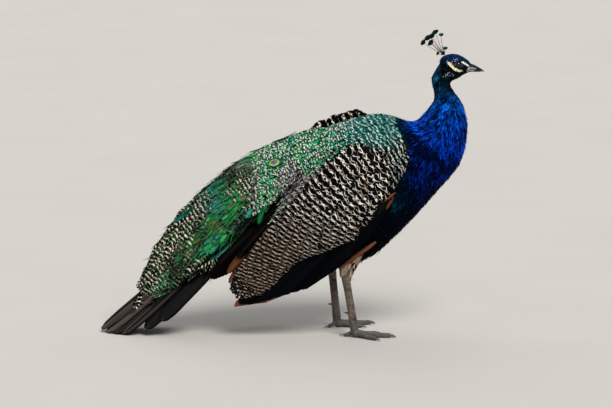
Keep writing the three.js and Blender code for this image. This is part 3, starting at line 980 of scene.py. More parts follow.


# %% [markdown]
# Now the finishes of the plumage. A feather's own random tone decides how brightly it flashes, a painted
# sheen; a strand of noise along the vane splits it into fine hair, with painted shade between the strands.
# The blue one takes its colour from where the feather grows.

# %% Blue plumage
def blue_plumage():
    made = material("plumage_blue", 0.42, metallic=0.15, specular=0.0)
    own = use(FEATHER, Barbs=90.0)
    lit = scaled(own["Tone"], 0.75, own_value("shine"))
    lit = plus(lit, scaled(own["Strand"], 1.5, -1.22))
    # Towards the root each feather is dimmed to its deep colour: painted shade under the feather above.
    lit = times(lit, smooth(own["Along"], -0.1, 0.6), clamp=True)
    colour = use(BLUES, Spot=own["Root"], Lit=lit)["Colour"]
    speck = times(own_value("speck"), smooth(own["Along"], 0.35, 0.7))
    colour = blend(speck, colour, (0.80, 0.80, 0.84))
    return finished(made, colour, own["Height"], 0.35)


BLUE_PLUMAGE = blue_plumage()
print("blue plumage nodes", len(BLUE_PLUMAGE.node_tree.nodes))


# %% [markdown]
# Barred feathers are one recipe: bars on a light ground with a few stains. Each region has its own colours
# and widths, so the wing is black on buff, the mantle is stained with green and the flank is mauve grey.

# %% Barred plumage
def barred_plumage(name, dark, top_pale, low_pale, warm, bow=0.10, half=0.36, line=0.13, pinch=0.75,
                   waver=0.20, shift=0.22, low_dark=None):
    """Bars whose colours go from the top pair to the low one as the feathers' own low value says."""
    made = material(name, 0.7, specular=0.02)
    own = use(FEATHER, Barbs=120.0)
    spot = object_spot()
    turns = scaled(own["Tone"], shift, own_value("turns"))
    bars = use(BARS, Turns=turns, Across=own["Across"], Spot=spot, Bow=bow, Dark=half, Line=line,
               Pinch=pinch, Waver=waver)["Mask"]
    bars = times(bars, smooth(own["Along"], 0.1, 0.35))
    low = own_value("low")
    light = blend(low, top_pale, low_pale)
    dark = blend(low, dark, low_dark or dark)
    tint = times(smooth(noise(spot, 85.0), 0.50, 0.66), 0.7)
    light = blend(tint, light, warm)
    light = blend(times(own["Tone"], 0.15), light, dark)
    return finished(made, blend(bars, dark, light), own["Height"])


NEAR_BLACK = (0.0022, 0.0017, 0.0015)
WHITE_BUFF = (0.86, 0.83, 0.76)
DULL_BUFF = (0.40, 0.32, 0.25)
WARM_BUFF = (0.46, 0.28, 0.14)
BARRED = barred_plumage("plumage_barred", NEAR_BLACK, WHITE_BUFF, DULL_BUFF, WARM_BUFF)
MANTLE = barred_plumage("plumage_mantle", (0.0010, 0.0025, 0.0025), (0.70, 0.70, 0.65), (0.50, 0.70, 0.64),
                        (0.010, 0.28, 0.24), line=0.12, pinch=0.3, waver=0.45, shift=0.45,
                        low_dark=(0.003, 0.075, 0.066))
FAR_BARRED = barred_plumage("plumage_shoulder", NEAR_BLACK, WHITE_BUFF, DULL_BUFF, WARM_BUFF, half=0.42,
                            line=0.3, pinch=0.2, shift=0.4)
MAUVE = barred_plumage("plumage_mauve", (0.012, 0.010, 0.011), (0.40, 0.37, 0.375), (0.26, 0.24, 0.245),
                       (0.10, 0.085, 0.085), bow=0.3, half=0.22, line=0.3, shift=0.3)
print("barred plumage nodes", len(BARRED.node_tree.nodes))


# %% [markdown]
# The scales of the back are emerald, teal towards the neck and mauve grey low at the rear. About half of
# them hardly shine, so that the back looks like single scales and not like one painted sheet.

# %% Scales of the back
def back_plumage():
    """Scales of emerald or teal with a pale fringe and a dark ring inside it."""
    made = material("plumage_back", 0.45, metallic=0.2, specular=0.02)
    own = use(FEATHER, Barbs=120.0)
    spot = object_spot()
    toward_neck = own_value("front")
    glow = blend(smooth(own["Tone"], 0.2, 0.8), (0.016, 0.44, 0.20), (0.14, 0.52, 0.20))
    glow = blend(toward_neck, glow, (0.014, 0.34, 0.30))
    fringe = blend(smooth(noise(spot, 90.0), 0.35, 0.6), (0.95, 0.84, 0.79), (0.50, 0.62, 0.50))
    off_shaft = size_of(scaled(own["Across"], 2.0, -1.0))
    grey = blend(smooth(own["Tone"], 0.2, 0.8), (0.12, 0.105, 0.11), (0.34, 0.31, 0.31))
    rim = scaled(square(off_shaft), -2.2 * MM, own["To tip"])
    rim = plus(rim, scaled(own["Strand"], 2.4 * MM, -1.2 * MM))
    edge = smooth(rim, 2.7 * MM, 1.8 * MM)
    edge = times(edge, smooth(noise(spot, 110.0, 1.0), 0.28, 0.42))
    ring = smooth(size_of(minus(rim, 3.8 * MM)), 1.8 * MM, 1.0 * MM)
    unlit = smooth(noise(own["Root"], 70.0, 1.0), 0.56, 0.44)
    unlit = calc("MAXIMUM", unlit, smooth(own["Tone"], 0.24, 0.16))
    base = blend(times(unlit, 0.7), glow, (0.010, 0.09, 0.055))
    base = blend(own_value("mauve"), base, grey)
    base = blend(ring, base, (0.003, 0.016, 0.012))
    return finished(made, blend(edge, base, fringe), own["Height"])


BACK = back_plumage()
print("back plumage nodes", len(BACK.node_tree.nodes))


# %% [markdown]
# Quills and down have one colour each, deeper on some feathers and lighter on others.

# %% Plain feathers
def plain_feather(name, deep, lit, roughness, shaft=None, specular=0.04):
    """From a deep to a lit colour by each feather's tone, with a shaft of its own colour if one is given."""
    made = material(name, roughness, specular=specular)
    own = use(FEATHER, Barbs=160.0)
    colour = blend(smooth(plus(times(own["Tone"], 0.6), times(own["Strand"], 0.5)), 0.2, 0.85), deep, lit)
    if shaft:
        colour = blend(own["Shaft"], colour, shaft)
    return finished(made, colour, own["Height"], depth=0.5 * MM)


BLACK_QUILL = plain_feather("quill_black", (0.0006, 0.0008, 0.0012), (0.0016, 0.0022, 0.0035), 0.6,
                            specular=0.01)
RUMP_QUILL = plain_feather("quill_rump", (0.0006, 0.0006, 0.0008), (0.0045, 0.0038, 0.0038), 0.65,
                           shaft=(0.018, 0.014, 0.012), specular=0.01)
CHESTNUT = plain_feather("quill_chestnut", (0.07, 0.022, 0.010), (0.27, 0.095, 0.042), 0.65,
                         shaft=(0.1, 0.04, 0.02))
BUFF_DOWN = plain_feather("down_buff", (0.15, 0.10, 0.06), (0.60, 0.47, 0.34), 0.8)
print("plain finishes", len((BLACK_QUILL, RUMP_QUILL, CHESTNUT, BUFF_DOWN)))


# %% [markdown]
# Each tract of the coat is laid on its own, so that the feathers can be tiny on the face and broad on the
# shoulders. Breast and belly are not laid where a wing or the train hides the skin. Every finished piece
# rides on the bird's one body, and the solids it replaces are hidden.

# %% From roots to a finished tract
def finish_coat(made, stuff, slot, *nodes):
    """Gives a piece its finish, puts it on the bird's one body and hides the solids it stands for."""
    made.data.materials.append(stuff)
    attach(made, "root")
    if nodes:
        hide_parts(*nodes)


def covered(points, normals):
    """True where a wing or the train lies over both a root and a point a little way down its feather."""
    tips = points + body_lie(points) * 14 * MM
    hidden = []
    for *places, a, b, c in np.hstack([points, tips, normals]).tolist():
        out = Vector((a, b, c))
        trees = (wing_trees["L" if places[1] > 0 else "R"], train_tree)
        over = [any(tree.ray_cast(Vector(spot), out, 0.05)[0] is not None for tree in trees)
                for spot in (places[:3], places[3:])]
        hidden.append(all(over))
    return np.array(hidden)


def skin_tract(name, gap, seed, keep, long, half, stuff, slot, *nodes, own=None, lie=body_lie,
               under_wings=True, **cut):
    """One tract on the skin, from its roots to its finish. own works out values from the roots."""
    roots, normals = scatter(skin, gap, seed, keep)
    if not under_wings:
        seen = ~covered(roots, normals)
        roots, normals = roots[seen], normals[seen]
    values = own(roots) if own else {}
    made = lay(name, skin_bed, roots, normals, lie, long, half, "strand", seed=seed + 1, **cut, **values)
    finish_coat(made, stuff, slot, *nodes)


print("skin to cover:", len(skin.data.polygons), "faces")


# %% [markdown]
# The face has bare places: a white stripe from over the eye towards the bill, a broad white crescent behind
# and under the eye, the lids, and the horn round the base of the bill. The stripes are kept as lines set
# from the eye's centre, and each spot on the skin is told how far it is from them.

# %% Bare places on the face
EYE_STRIPES = (  # from the eye's centre: forwards, up, half width
    ((5.5, 6.6, 0.5), (9.5, 4.6, 1.7), (15.0, 1.4, 1.7), (20.0, -1.6, 1.3), (23.5, -4.4, 0.5)),
    ((-25.0, 7.6, 1.0), (-20.5, 5.2, 3.2), (-15.8, 1.0, 3.9), (-11.5, -5.0, 2.9), (-5.0, -10.2, 2.7),
     (3.0, -12.8, 2.5), (9.0, -13.4, 1.0)),
)
HORN_EDGE_Z = [0.540, 0.5515, 0.5535, 0.5580, 0.5690, 0.5750]
HORN_EDGE_X = [0.3740, 0.3715, 0.3650, 0.3650, 0.3718, 0.3740]


def bill_base(points):
    return points[:, 0] > np.interp(points[:, 2], HORN_EDGE_Z, HORN_EDGE_X)


def stripe_gap(points):
    """Millimetres from each point to the edge of the nearest bare stripe on the face, below 0 inside it."""
    best = np.full(len(points), 99.0)
    for name in ("eye_R", "eye_L"):
        centre = at(name, 0.5, 0.5)
        same_side = np.sign(points[:, 1]) == np.sign(centre[1])
        flat = (points[:, [0, 2]] - centre[[0, 2]]) / MM
        for stripe in EYE_STRIPES:
            for (x0, z0, w0), (x1, z1, w1) in zip(stripe, stripe[1:]):
                arm = np.array([x1 - x0, z1 - z0])
                share = np.clip(((flat - [x0, z0]) @ arm) / (arm @ arm), 0, 1)
                off = np.linalg.norm(flat - np.array([x0, z0]) - share[:, None] * arm, axis=1)
                gap = off - (w0 + (w1 - w0) * share)
                best = np.where(same_side & (gap < best), gap, best)
    return best


def eye_gap(points):
    """How far each point is from the lids' edge of its own eye, 1 on the edge."""
    return np.minimum(almond(points, "eye_R")[0] + 9 * (points[:, 1] > 0),
                      almond(points, "eye_L")[0] + 9 * (points[:, 1] < 0))


print("bare stripes on each side", len(EYE_STRIPES))


# %% [markdown]
# The face has the smallest feathers, a nap of tufts a few millimetres long. Stripes, lids and the base of
# the bill stay bare. A few tufts on the cheek and over the eye are white.

# %% Coat of the head
head_low = at("head", 0, 0)[2] + 14 * MM
CHEEK_X, CHEEK_Z = 0.3290, 0.5415
BROW_X, BROW_Z = 0.3420, 0.5795


def on_head(points, normals):
    return ((points[:, 2] > head_low) & (points[:, 0] > 0.29) & (stripe_gap(points) > 0.6)
            & (eye_gap(points) > 1.5) & ~bill_base(points))


roots, normals = scatter(skin, 1.75 * MM, 11, on_head)
tiny = ease(np.linalg.norm(roots - at("eye_R", 0.9, 0.4), axis=1), 8 * MM, 34 * MM)
on_cheek = np.hypot(roots[:, 0] - CHEEK_X, 0.9 * (roots[:, 2] - CHEEK_Z)) < 13.5 * MM
on_brow = (np.abs(roots[:, 0] - BROW_X) < 7 * MM) & (np.abs(roots[:, 2] - BROW_Z) < 2.5 * MM)
speck = ((on_cheek | on_brow) & (np.random.default_rng(17).random(len(roots)) < 0.40)).astype(float)
# Patches of painted sheen: how brightly the tufts flash wobbles over the head.
coat_head = lay("coat_head", skin_bed, roots, normals, body_lie, 3.2 * MM + 2.6 * MM * tiny,
                0.85 * MM + 0.5 * MM * tiny, "tuft", thick=0.14 * MM, lift=0.55 * MM, sink=0.3 * MM,
                twist=10, unwrap=neck_unwrap, seed=12, speck=speck,
                shine=np.clip(0.33 + 0.5 * wobble(roots, 0.012, 14), 0, 1.1))
finish_coat(coat_head, BLUE_PLUMAGE, "blue_plumage", "head")


# %% [markdown]
# Down the upper neck the tufts lengthen into narrow strands, which split the light into streaks. How
# brightly they flash changes in patches, as if the bird had just turned its head: the bright patches are
# painted sheen and the dark blotches painted shade.

# %% Coat of the upper neck
NECK_FOOT = 0.478


def on_upper_neck(points, normals):
    return (points[:, 2] <= head_low) & (points[:, 2] > NECK_FOOT) & (points[:, 0] > 0.25)


def neck_shine(roots):
    # Bright patches are painted sheen, dark ones painted shade.
    shine = 0.44 + 0.6 * wobble(roots, 0.025, 23) + 0.6 * wobble(roots, 0.009, 24)
    return {"shine": np.clip(shine, -0.1, 1.2)}


skin_tract("coat_neck", 2.5 * MM, 21, on_upper_neck, 10 * MM, 1.7 * MM, BLUE_PLUMAGE, "blue_plumage",
           "neck_upper", own=neck_shine, thick=0.18 * MM, sink=0.5 * MM, twist=9, unwrap=neck_unwrap)


# %% [markdown]
# On the lower neck and the breast the strands are longer still. Their painted sheen is weaker towards the
# belly and the mantle, and a painted shade of a fold slants down from the shoulder, where the neck's coat
# dips behind the mantle's.

# %% Coat of the lower neck and breast
MANTLE_FRONT_Z = [0.315, 0.3443, 0.3663, 0.3905, 0.453]
MANTLE_FRONT_X = [0.212, 0.2267, 0.2423, 0.2475, 0.2225]
FOLD_SHADE_X, FOLD_SHADE_Z = 0.278, 0.405


def on_back(points):
    """The upper side behind the neck, down to where the wings cover it."""
    x, z = points[:, 0], points[:, 2]
    line = np.interp(x, [-0.06, 0.0, 0.08, 0.15, 0.20, 0.25], [0.30, 0.32, 0.36, 0.37, 0.375, 0.40])
    return (x < np.interp(z, MANTLE_FRONT_Z, MANTLE_FRONT_X)) & (z > line)


def low_in_front(points):
    """Below the upper neck and in front of the mantle."""
    return (points[:, 2] <= NECK_FOOT) & ~on_back(points)


def in_front(points):
    x, z = points[:, 0], points[:, 2]
    return (x > 0.16 - 0.4 * (z - 0.22)) & (z > 0.19)


def breast_shine(roots):
    x, z = roots[:, 0] - FOLD_SHADE_X, roots[:, 2] - FOLD_SHADE_Z
    # The fold is painted shade, and so is the dimming towards the mantle; the patches are painted sheen and
    # shade.
    fold = np.hypot((0.61 * x + 0.79 * z) / 0.014, (0.79 * x - 0.61 * z) / 0.042)
    shine = 0.50 + 0.42 * wobble(roots, 0.045, 33) + 0.42 * wobble(roots, 0.012, 34)
    shine = np.clip(shine - 0.2 * ease(-roots[:, 2], -0.38, -0.32), 0, 1)
    return {"shine": shine - 1.1 * ease(-fold, -1.4, -0.7) - 0.35 * ease(-roots[:, 0], -0.285, -0.245)}


skin_tract("coat_breast", 3.5 * MM, 31, lambda points, normals: low_in_front(points) & in_front(points),
           16 * MM, 2.3 * MM, BLUE_PLUMAGE, "blue_plumage", "neck_lower", "breast", own=breast_shine,
           under_wings=False, thick=0.2 * MM, lift=3.0 * MM, sink=1.0 * MM)


# %% [markdown]
# Wings and legs hide most of the belly and the flanks, so a few broad dark strands are enough there. Behind
# the rump long soft black feathers fill the room under the train.

# %% Coat of the belly, flanks and vent
def on_belly(points, normals):
    return low_in_front(points) & ~in_front(points) & (points[:, 2] > 0.150)


def at_rear(points, normals):
    return (points[:, 0] < 0.03) & (normals[:, 0] < 0.35) & (points[:, 2] < 0.36)


def one_way(back, up):
    """A lie that is the same everywhere, given in the side view."""
    way = unit(np.array([back, 0.0, up]))
    return lambda points: np.tile(way, (len(points), 1))


skin_tract("coat_belly", 8.0 * MM, 41, on_belly, 28 * MM, 5.0 * MM, BLUE_PLUMAGE, "dark_plumage", "trunk",
           own=lambda roots: {"shine": np.full(len(roots), 0.3)}, under_wings=False, lift=4.0 * MM,
           sink=1.0 * MM, twist=10)
skin_tract("coat_vent", 6.0 * MM, 45, at_rear, 78 * MM, 5.0 * MM, BLACK_QUILL, "dark_plumage",
           lie=one_way(-0.74, -0.67), lift=8.0 * MM, sink=1.0 * MM, twist=9, ragged=0.3, hold=0.3)


# %% [markdown]
# The feathers of the mantle and the back hang over the front of the wings and over the roots of the train.
# So they get a bed of their own, one smooth shell round body, wings and train, which is thrown away once
# they are laid.

# %% Coat of the mantle and back
cape_bed = fused("cape_bed", [*BODY, "wing_shield_R", "wing_shield_L", "train"], 4.0 * MM, 8)
cape_bed = largest_island(shrunk(cape_bed, 1.5 * MM))
cape_tree = bed_of(cape_bed)
back_way = field("trunk", ((0.55, 0.90, -0.92, -0.40), (0.2, 0.85, -0.9, -0.44), (0.1, 0.6, -0.8, -0.6),
                           (0.0, 0.8, -0.9, -0.5)))
mantle_way = field("wing_shield_R", ((0.67, 0.99, -0.62, -0.78), (0.83, 1.0, -0.70, -0.70),
                                     (0.93, 0.88, -0.85, -0.52), (0.96, 0.77, -0.90, -0.43)))
BACK_ARROWS = together(back_way, mantle_way)
MANTLE_END = at("trunk", 0.50, 0)[0]
CAPE_X = [-0.068, -0.044, -0.0137, 0.0176, 0.059, 0.1004, 0.1418, 0.1833, 0.2081, 0.2205]
CAPE_Z = [0.292, 0.276, 0.312, 0.340, 0.3758, 0.4136, 0.4304, 0.4199, 0.4031, 0.3821]
STRIP_Z = [0.3149, 0.3191, 0.3569, 0.3821]
STRIP_X = [0.2120, 0.2122, 0.2226, 0.2205]


def back_lie(points):
    return follow(BACK_ARROWS, points)


def on_cape(points):
    """Where mantle and back are seen: down to the wings' bars, and a strip down in front of the wing."""
    x, z = points[:, 0], points[:, 2]
    inner = 26 * MM * ease(-np.abs(points[:, 1]), -0.088, -0.072) * ease(-x, -0.16, -0.12)
    above = (z > np.interp(x, CAPE_X, CAPE_Z) - inner) & ((z > CAPE_Z[-1]) | (x < 0.19))
    strip = (z > STRIP_Z[0]) & (z <= CAPE_Z[-1]) & (x > np.interp(z, STRIP_Z, STRIP_X))
    return (x > CAPE_X[0]) & (x < np.interp(z, MANTLE_FRONT_Z, MANTLE_FRONT_X)) & (above | strip)


def on_upper_cape(points, normals):
    return on_cape(points) & (normals[:, 2] > -0.5)


def lay_back(name, gap, seed, chosen_by, stuff, long, half, twist, ragged, **facts):
    """A tract of scales on the cape's bed. Each fact is a function of the roots."""
    roots, normals = scatter(cape_bed, gap, seed, on_upper_cape)
    chosen = chosen_by(roots)
    roots, normals = roots[chosen], normals[chosen]
    facts = {label: value(roots) for label, value in facts.items()}
    made = lay(name, cape_tree, roots, normals, back_lie, long, half, "scale", lift=2.2 * MM,
               sink=0.8 * MM, twist=twist, ragged=ragged, camber=0.12, seed=seed + 1,
               long=np.full(len(roots), long), turns=mantle_turns, **facts)
    finish_coat(made, stuff, "green_plumage", "rump")


def back_mauve(points):
    """1 in the greyish patch low at the rear, where the back meets wing and train."""
    away = np.hypot((points[:, 0] - 2 * MM) / (26 * MM), (points[:, 2] - 338 * MM) / (34 * MM))
    return ease(-(away + 0.3 * wobble(points, 0.02, 59)), -1.3, -0.8)


mantle_turns = turns_on(mantle_way, at("wing_shield_R", 0.96, 0.9), [0, 0.1], [8.5 * MM, 10.0 * MM])
lay_back("coat_mantle", 6.0 * MM, 51, lambda roots: roots[:, 0] > MANTLE_END, MANTLE, 22 * MM, 6.5 * MM,
         6, 0.12, low=lambda roots: ease(roots[:, 2], 0.40, 0.44))
lay_back("coat_back", 5.2 * MM, 56, lambda roots: roots[:, 0] <= MANTLE_END + 8 * MM, BACK, 14 * MM,
         4.6 * MM, 16, 0.35, front=lambda roots: ease(roots[:, 0], MANTLE_END - 70 * MM, MANTLE_END),
         mauve=back_mauve)
bpy.data.objects.remove(cape_bed)


# %% [markdown]
# The thighs end in pale down. Short strands lie on the skin there, and a loose skirt of them hangs round the
# top of each bare leg, which hides where the feathers stop.

# %% Buff down on the thighs
BUFF_TOP = at("thigh_R", 0, 0.55)[2]
BUFF_FRONT = 0.148


def on_thigh(points, normals):
    return (points[:, 2] <= BUFF_TOP) & (points[:, 0] < BUFF_FRONT)


skin_tract("coat_thigh", 2.9 * MM, 61, on_thigh, 19 * MM, 2.2 * MM, BUFF_DOWN, "buff_plumage", "thigh_R",
           "thigh_L", thick=0.2 * MM, lift=3.5 * MM, twist=12)


def lay_tuft(mark):
    """A loose skirt of down round the top of the bare leg."""
    rng = np.random.default_rng(64)
    count = 260
    low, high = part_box("shank_" + mark)
    top = np.array([low.x + 13 * MM, (low.y + high.y) / 2, high.z])
    turn = rng.uniform(0, 2 * math.pi, count)
    out = np.stack([np.cos(turn), np.sin(turn), np.zeros(count)], axis=1)
    deep = rng.uniform(0, 1, count)[:, None]
    starts = top + out * [15 * MM, 9 * MM, 0] + [4 * MM, 0, 16 * MM] - deep * [6 * MM, 0, 26 * MM]
    ends = starts - out * [7 * MM, 2 * MM, 0] - [4 * MM, 0, 22 * MM]
    across = np.cross(ends - starts, out)
    made = straight("tuft_" + mark, starts, ends, across, 2.0 * MM, "strand", THIN, thick=0.25 * MM,
                    camber=0.2, bow=2.0 * MM, unwrap=body_unwrap, seed=65)
    finish_coat(made, BUFF_DOWN, "buff_plumage")


# %% [markdown]
# The wing's shield is a field of overlapping barred scapular and covert feathers. They point back from the
# shoulder and turn steeply down towards the tip. Their bars are broadest a little behind the shoulder and
# grow finer towards the tip.

# %% The shields of the wings
WING_ARROWS = field("wing_shield_R", (
    (0.97, 0.85, -0.94, -0.34), (0.75, 0.88, -0.87, -0.50), (0.85, 0.55, -0.64, -0.77),
    (0.55, 0.65, -0.60, -0.80), (0.6, 0.35, -0.25, -0.97), (0.3, 0.45, -0.42, -0.91),
    (0.3, 0.15, -0.30, -0.95), (0.02, 0.02, -0.40, -0.92)))
SHIELD_EDGE_X = [-0.125, -0.061, -0.003, 0.059, 0.111, 0.152, 0.187, 0.216, 0.235, 0.26]
SHIELD_EDGE_Z = [0.080, 0.105, 0.151, 0.189, 0.199, 0.2435, 0.292, 0.316, 0.335, 0.36]
SHOULDER = at("wing_shield_R", 0.97, 0.88)
wing_turns = turns_on(WING_ARROWS, SHOULDER, [0, 0.03, 0.08, 0.13, 0.18, 0.24, 0.34, 0.46],
                      [x * MM for x in (7.0, 8.5, 12.5, 14.0, 12.5, 9.0, 7.5, 6.0)])


def wing_lie(points):
    return follow(WING_ARROWS, points)


def down_wing(points):
    """0 at the shoulder and 1 at the wing's tip."""
    arm = (at("wing_shield_R", 0.0, 0.02) - SHOULDER)[[0, 2]]
    return ((points - SHOULDER)[:, [0, 2]] @ arm) / (arm @ arm)


def lay_shield(mark):
    out = OUT[mark]

    def on_shield(points, normals):
        edge = np.interp(points[:, 0], SHIELD_EDGE_X, SHIELD_EDGE_Z)
        outer = normals[:, 1] * out
        rim = (outer > -0.7) & ((normals[:, 2] > 0.1) | (normals[:, 0] > 0.2))
        return ((outer > 0.0) | rim) & (points[:, 2] > edge + 1 * MM)

    def broad_part(points, normals):
        return on_shield(points, normals) & (down_wing(points) < 0.88)

    def tip_part(points, normals):
        return on_shield(points, normals) & (down_wing(points) >= 0.84)

    broad = scatter(wing_bed[mark], 11.6 * MM, 71, broad_part, tries=9.0)
    small = scatter(wing_bed[mark], 5.5 * MM, 73, tip_part)
    roots, normals = together(broad, small)
    share = down_wing(roots)
    long = np.interp(share, [0, 0.2, 0.6, 0.82, 0.88, 0.95, 1], [20, 34, 37, 26, 9, 7, 5]) * MM
    half = np.interp(share, [0, 0.2, 0.6, 0.82, 0.88, 1], [8.5, 11, 11, 9, 4.5, 3.4]) * MM
    room = np.interp(roots[:, 0], SHIELD_EDGE_X, SHIELD_EDGE_Z)
    long = np.minimum(long, 12 * MM + 1.3 * np.maximum(roots[:, 2] - room, 0))
    made = lay("shield_feathers_" + mark, wing_trees[mark], roots, normals, wing_lie, long, half, "scale",
               thick=0.2 * MM, lift=1.1 * MM, camber=0.03, sink=0.8 * MM, twist=1, ragged=0.06, hug=True,
               unwrap=side_unwrap, seed=72, turns=wing_turns, low=ease(share, 0.25, 0.75))
    finish_coat(made, BARRED, "barred_plumage", "wing_shield_" + mark)


def lay_flank(mark):
    """Grey feathers along the upper rear edge, which bridge from the wing to the train."""
    def on_rear_edge(points, normals):
        top = np.interp(points[:, 0], WING_TOP_X, WING_TOP_Z)
        return (points[:, 0] < 0.060) & (points[:, 0] > -0.012) & (points[:, 2] > top - 16 * MM)

    roots, normals = scatter(wing_bed[mark], 6.0 * MM, 75, on_rear_edge)
    made = lay("flank_feathers_" + mark, wing_trees[mark], roots, normals, one_way(-0.88, -0.47), 36 * MM,
               5.5 * MM, "scale", lift=3.0 * MM, camber=0.12, twist=6, ragged=0.2, hold=0.35,
               unwrap=side_unwrap, seed=76, turns=wing_turns, low=np.full(len(roots), 0.4))
    finish_coat(made, MAUVE, "barred_plumage")


wing_corners = spots(wing_bed["R"])
WING_TOP_X = np.linspace(-0.10, 0.22, 17)
WING_TOP_Z = np.array([wing_corners[np.abs(wing_corners[:, 0] - x) < 6 * MM, 2].max() for x in WING_TOP_X])
for mark in "RL":
    lay_shield(mark)
    lay_flank(mark)


# %% [markdown]
# Under the shield lie the long stiff flight feathers: the blue-black secondaries, with the chestnut
# primaries showing below and behind them. Each lies a little under the one above it. The skirts of down
# round the legs are laid here too, as they are straight blades as well.

# %% Flight feathers
def line_points(stops, count):
    """Points evenly along a row of stops."""
    stops = np.array(stops, dtype=float)
    return np.stack([np.interp(np.linspace(0, 1, count), np.linspace(0, 1, len(stops)), column)
                     for column in stops.T], axis=1)


def off_side(stops, level, out):
    """Points along a row of stops in x and z, each set off to one side by its level."""
    x, z = line_points(stops, len(level)).T
    return np.stack([x, out * level, z], axis=1)


def slanted(out, count):
    """From a folded wing's shaft to a feather's edge: forwards, a little outwards and down."""
    return np.tile((0.5, 0.10 * out, -0.8), (count, 1))


def lay_secondaries(mark):
    out = OUT[mark]
    level = np.linspace(0.0835, 0.0765, 17)
    roots = off_side([(0.205, 0.300), (0.165, 0.262), (0.11, 0.225), (0.05, 0.20)], level, out)
    tips = off_side([(0.135, 0.196), (0.085, 0.150), (0.02, 0.106), (-0.06, 0.083), (-0.110, 0.078)],
                    level + 1 * MM, out)
    made = straight("secondaries_" + mark, roots, tips, slanted(out, len(roots)), 16 * MM, thick=0.45 * MM,
                    camber=0.08, seed=81)
    finish_coat(made, BLACK_QUILL, "black_plumage", "wing_secondaries_" + mark)


STRAY_PRIMARIES = (  # root and tip of those seen behind and in front of the row, with their half widths
    ((-0.078, 0.070, 0.209), (-0.134, 0.072, 0.138), 8.5),
    ((-0.050, 0.068, 0.205), (-0.131, 0.070, 0.118), 11.0),
    ((0.176, 0.069, 0.204), (0.097, 0.071, 0.150), 5.0))


def lay_primaries(mark):
    out = OUT[mark]
    level = np.linspace(0.0705, 0.066, 13)
    roots = off_side([(0.10, 0.20), (0.05, 0.185), (0.02, 0.17)], level, out)
    tips = off_side([(-0.020, 0.092), (-0.062, 0.075), (-0.120, 0.067)], level, out)
    stray_roots, stray_tips, stray_halves = zip(*STRAY_PRIMARIES)
    roots = np.concatenate([roots, np.array(stray_roots) * [1, out, 1]])
    tips = np.concatenate([tips, np.array(stray_tips) * [1, out, 1]])
    half = np.array([11.0] * len(level) + list(stray_halves)) * MM
    made = straight("primaries_" + mark, roots, tips, slanted(out, len(roots)), half, camber=0.08, seed=82)
    finish_coat(made, CHESTNUT, "chestnut_plumage", "wing_primaries_" + mark)


def lay_covert(mark):
    """Two small chestnut feathers that show at the wing's bend."""
    out = OUT[mark]
    level = np.array([0.0885, 0.0870])
    roots = off_side([(0.216, 0.311), (0.212, 0.302)], level - 4 * MM, out)
    tips = off_side([(0.188, 0.292), (0.196, 0.276)], level, out)
    made = straight("covert_" + mark, roots, tips, slanted(out, 2), 3.6 * MM, "scale", thick=0.35 * MM,
                    seed=83)
    finish_coat(made, CHESTNUT, "chestnut_plumage")


for mark in "RL":
    lay_secondaries(mark)
    lay_primaries(mark)
    lay_covert(mark)
    lay_tuft(mark)


# %% [markdown]
# Long black feathers hang behind the wings' tips and under the train, a row on each side and two more
# further out.

# %% Quills of the rump
def lay_rump_quills():
    starts, ends, across = [], [], []
    level = np.linspace(0.050, 0.035, 12)
    for out in (-1, 1):
        starts.append(off_side([(-0.02, 0.285), (-0.035, 0.250), (-0.045, 0.222)], level, out))
        ends.append(off_side([(-0.178, 0.132), (-0.168, 0.121), (-0.142, 0.131), (-0.118, 0.146)],
                             level + 2 * MM, out))
        starts.append([(-0.022, out * 0.074, 0.276), (-0.034, out * 0.075, 0.262)])
        ends.append([(-0.112, out * 0.076, 0.172), (-0.104, out * 0.078, 0.184)])
        across.append(np.tile((-0.5 * out, 0.15, 0.8 * out), (len(level) + 2, 1)))
    starts, ends, across = (np.concatenate(rows) for rows in (starts, ends, across))
    made = straight("rump_quills", starts, ends, across, 9 * MM, "worn", camber=0.08, seed=84)
    finish_coat(made, RUMP_QUILL, "dark_plumage")


lay_rump_quills()


# %% [markdown]
# On the far side a ragged row of barred shoulder feathers stands a little above the line of the back.

# %% Shoulder ridge
ridge = fused("ridge_bed", ["scapulars_L"], 2.0 * MM, 3)
ridge = largest_island(shrunk(ridge, 1.5 * MM))
points = spots(ridge)
ridge_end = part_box("scapulars_L")[1].x
points[:, 2] -= 13 * MM * ease(points[:, 0], ridge_end - 34 * MM, ridge_end)
put_back(ridge, points)
RIDGE_BARS = 11.0 * MM
roots, normals = scatter(ridge, 6.0 * MM, 91, tries=8.0)
ridge_coat = lay("ridge_feathers", bed_of(ridge), roots, normals, one_way(-1.0, -0.42), 20 * MM, 5.0 * MM,
                 "scale", thick=0.3 * MM, lift=2.5 * MM, sink=0.5 * MM, twist=9, unwrap=side_unwrap, seed=92,
                 turns=turns_on(WING_ARROWS, at("wing_shield_R", 1, 1), [0, 1], [RIDGE_BARS, RIDGE_BARS]),
                 low=np.full(len(roots), 0.1))
finish_coat(ridge_coat, FAR_BARRED, "barred_plumage", "scapulars_L")
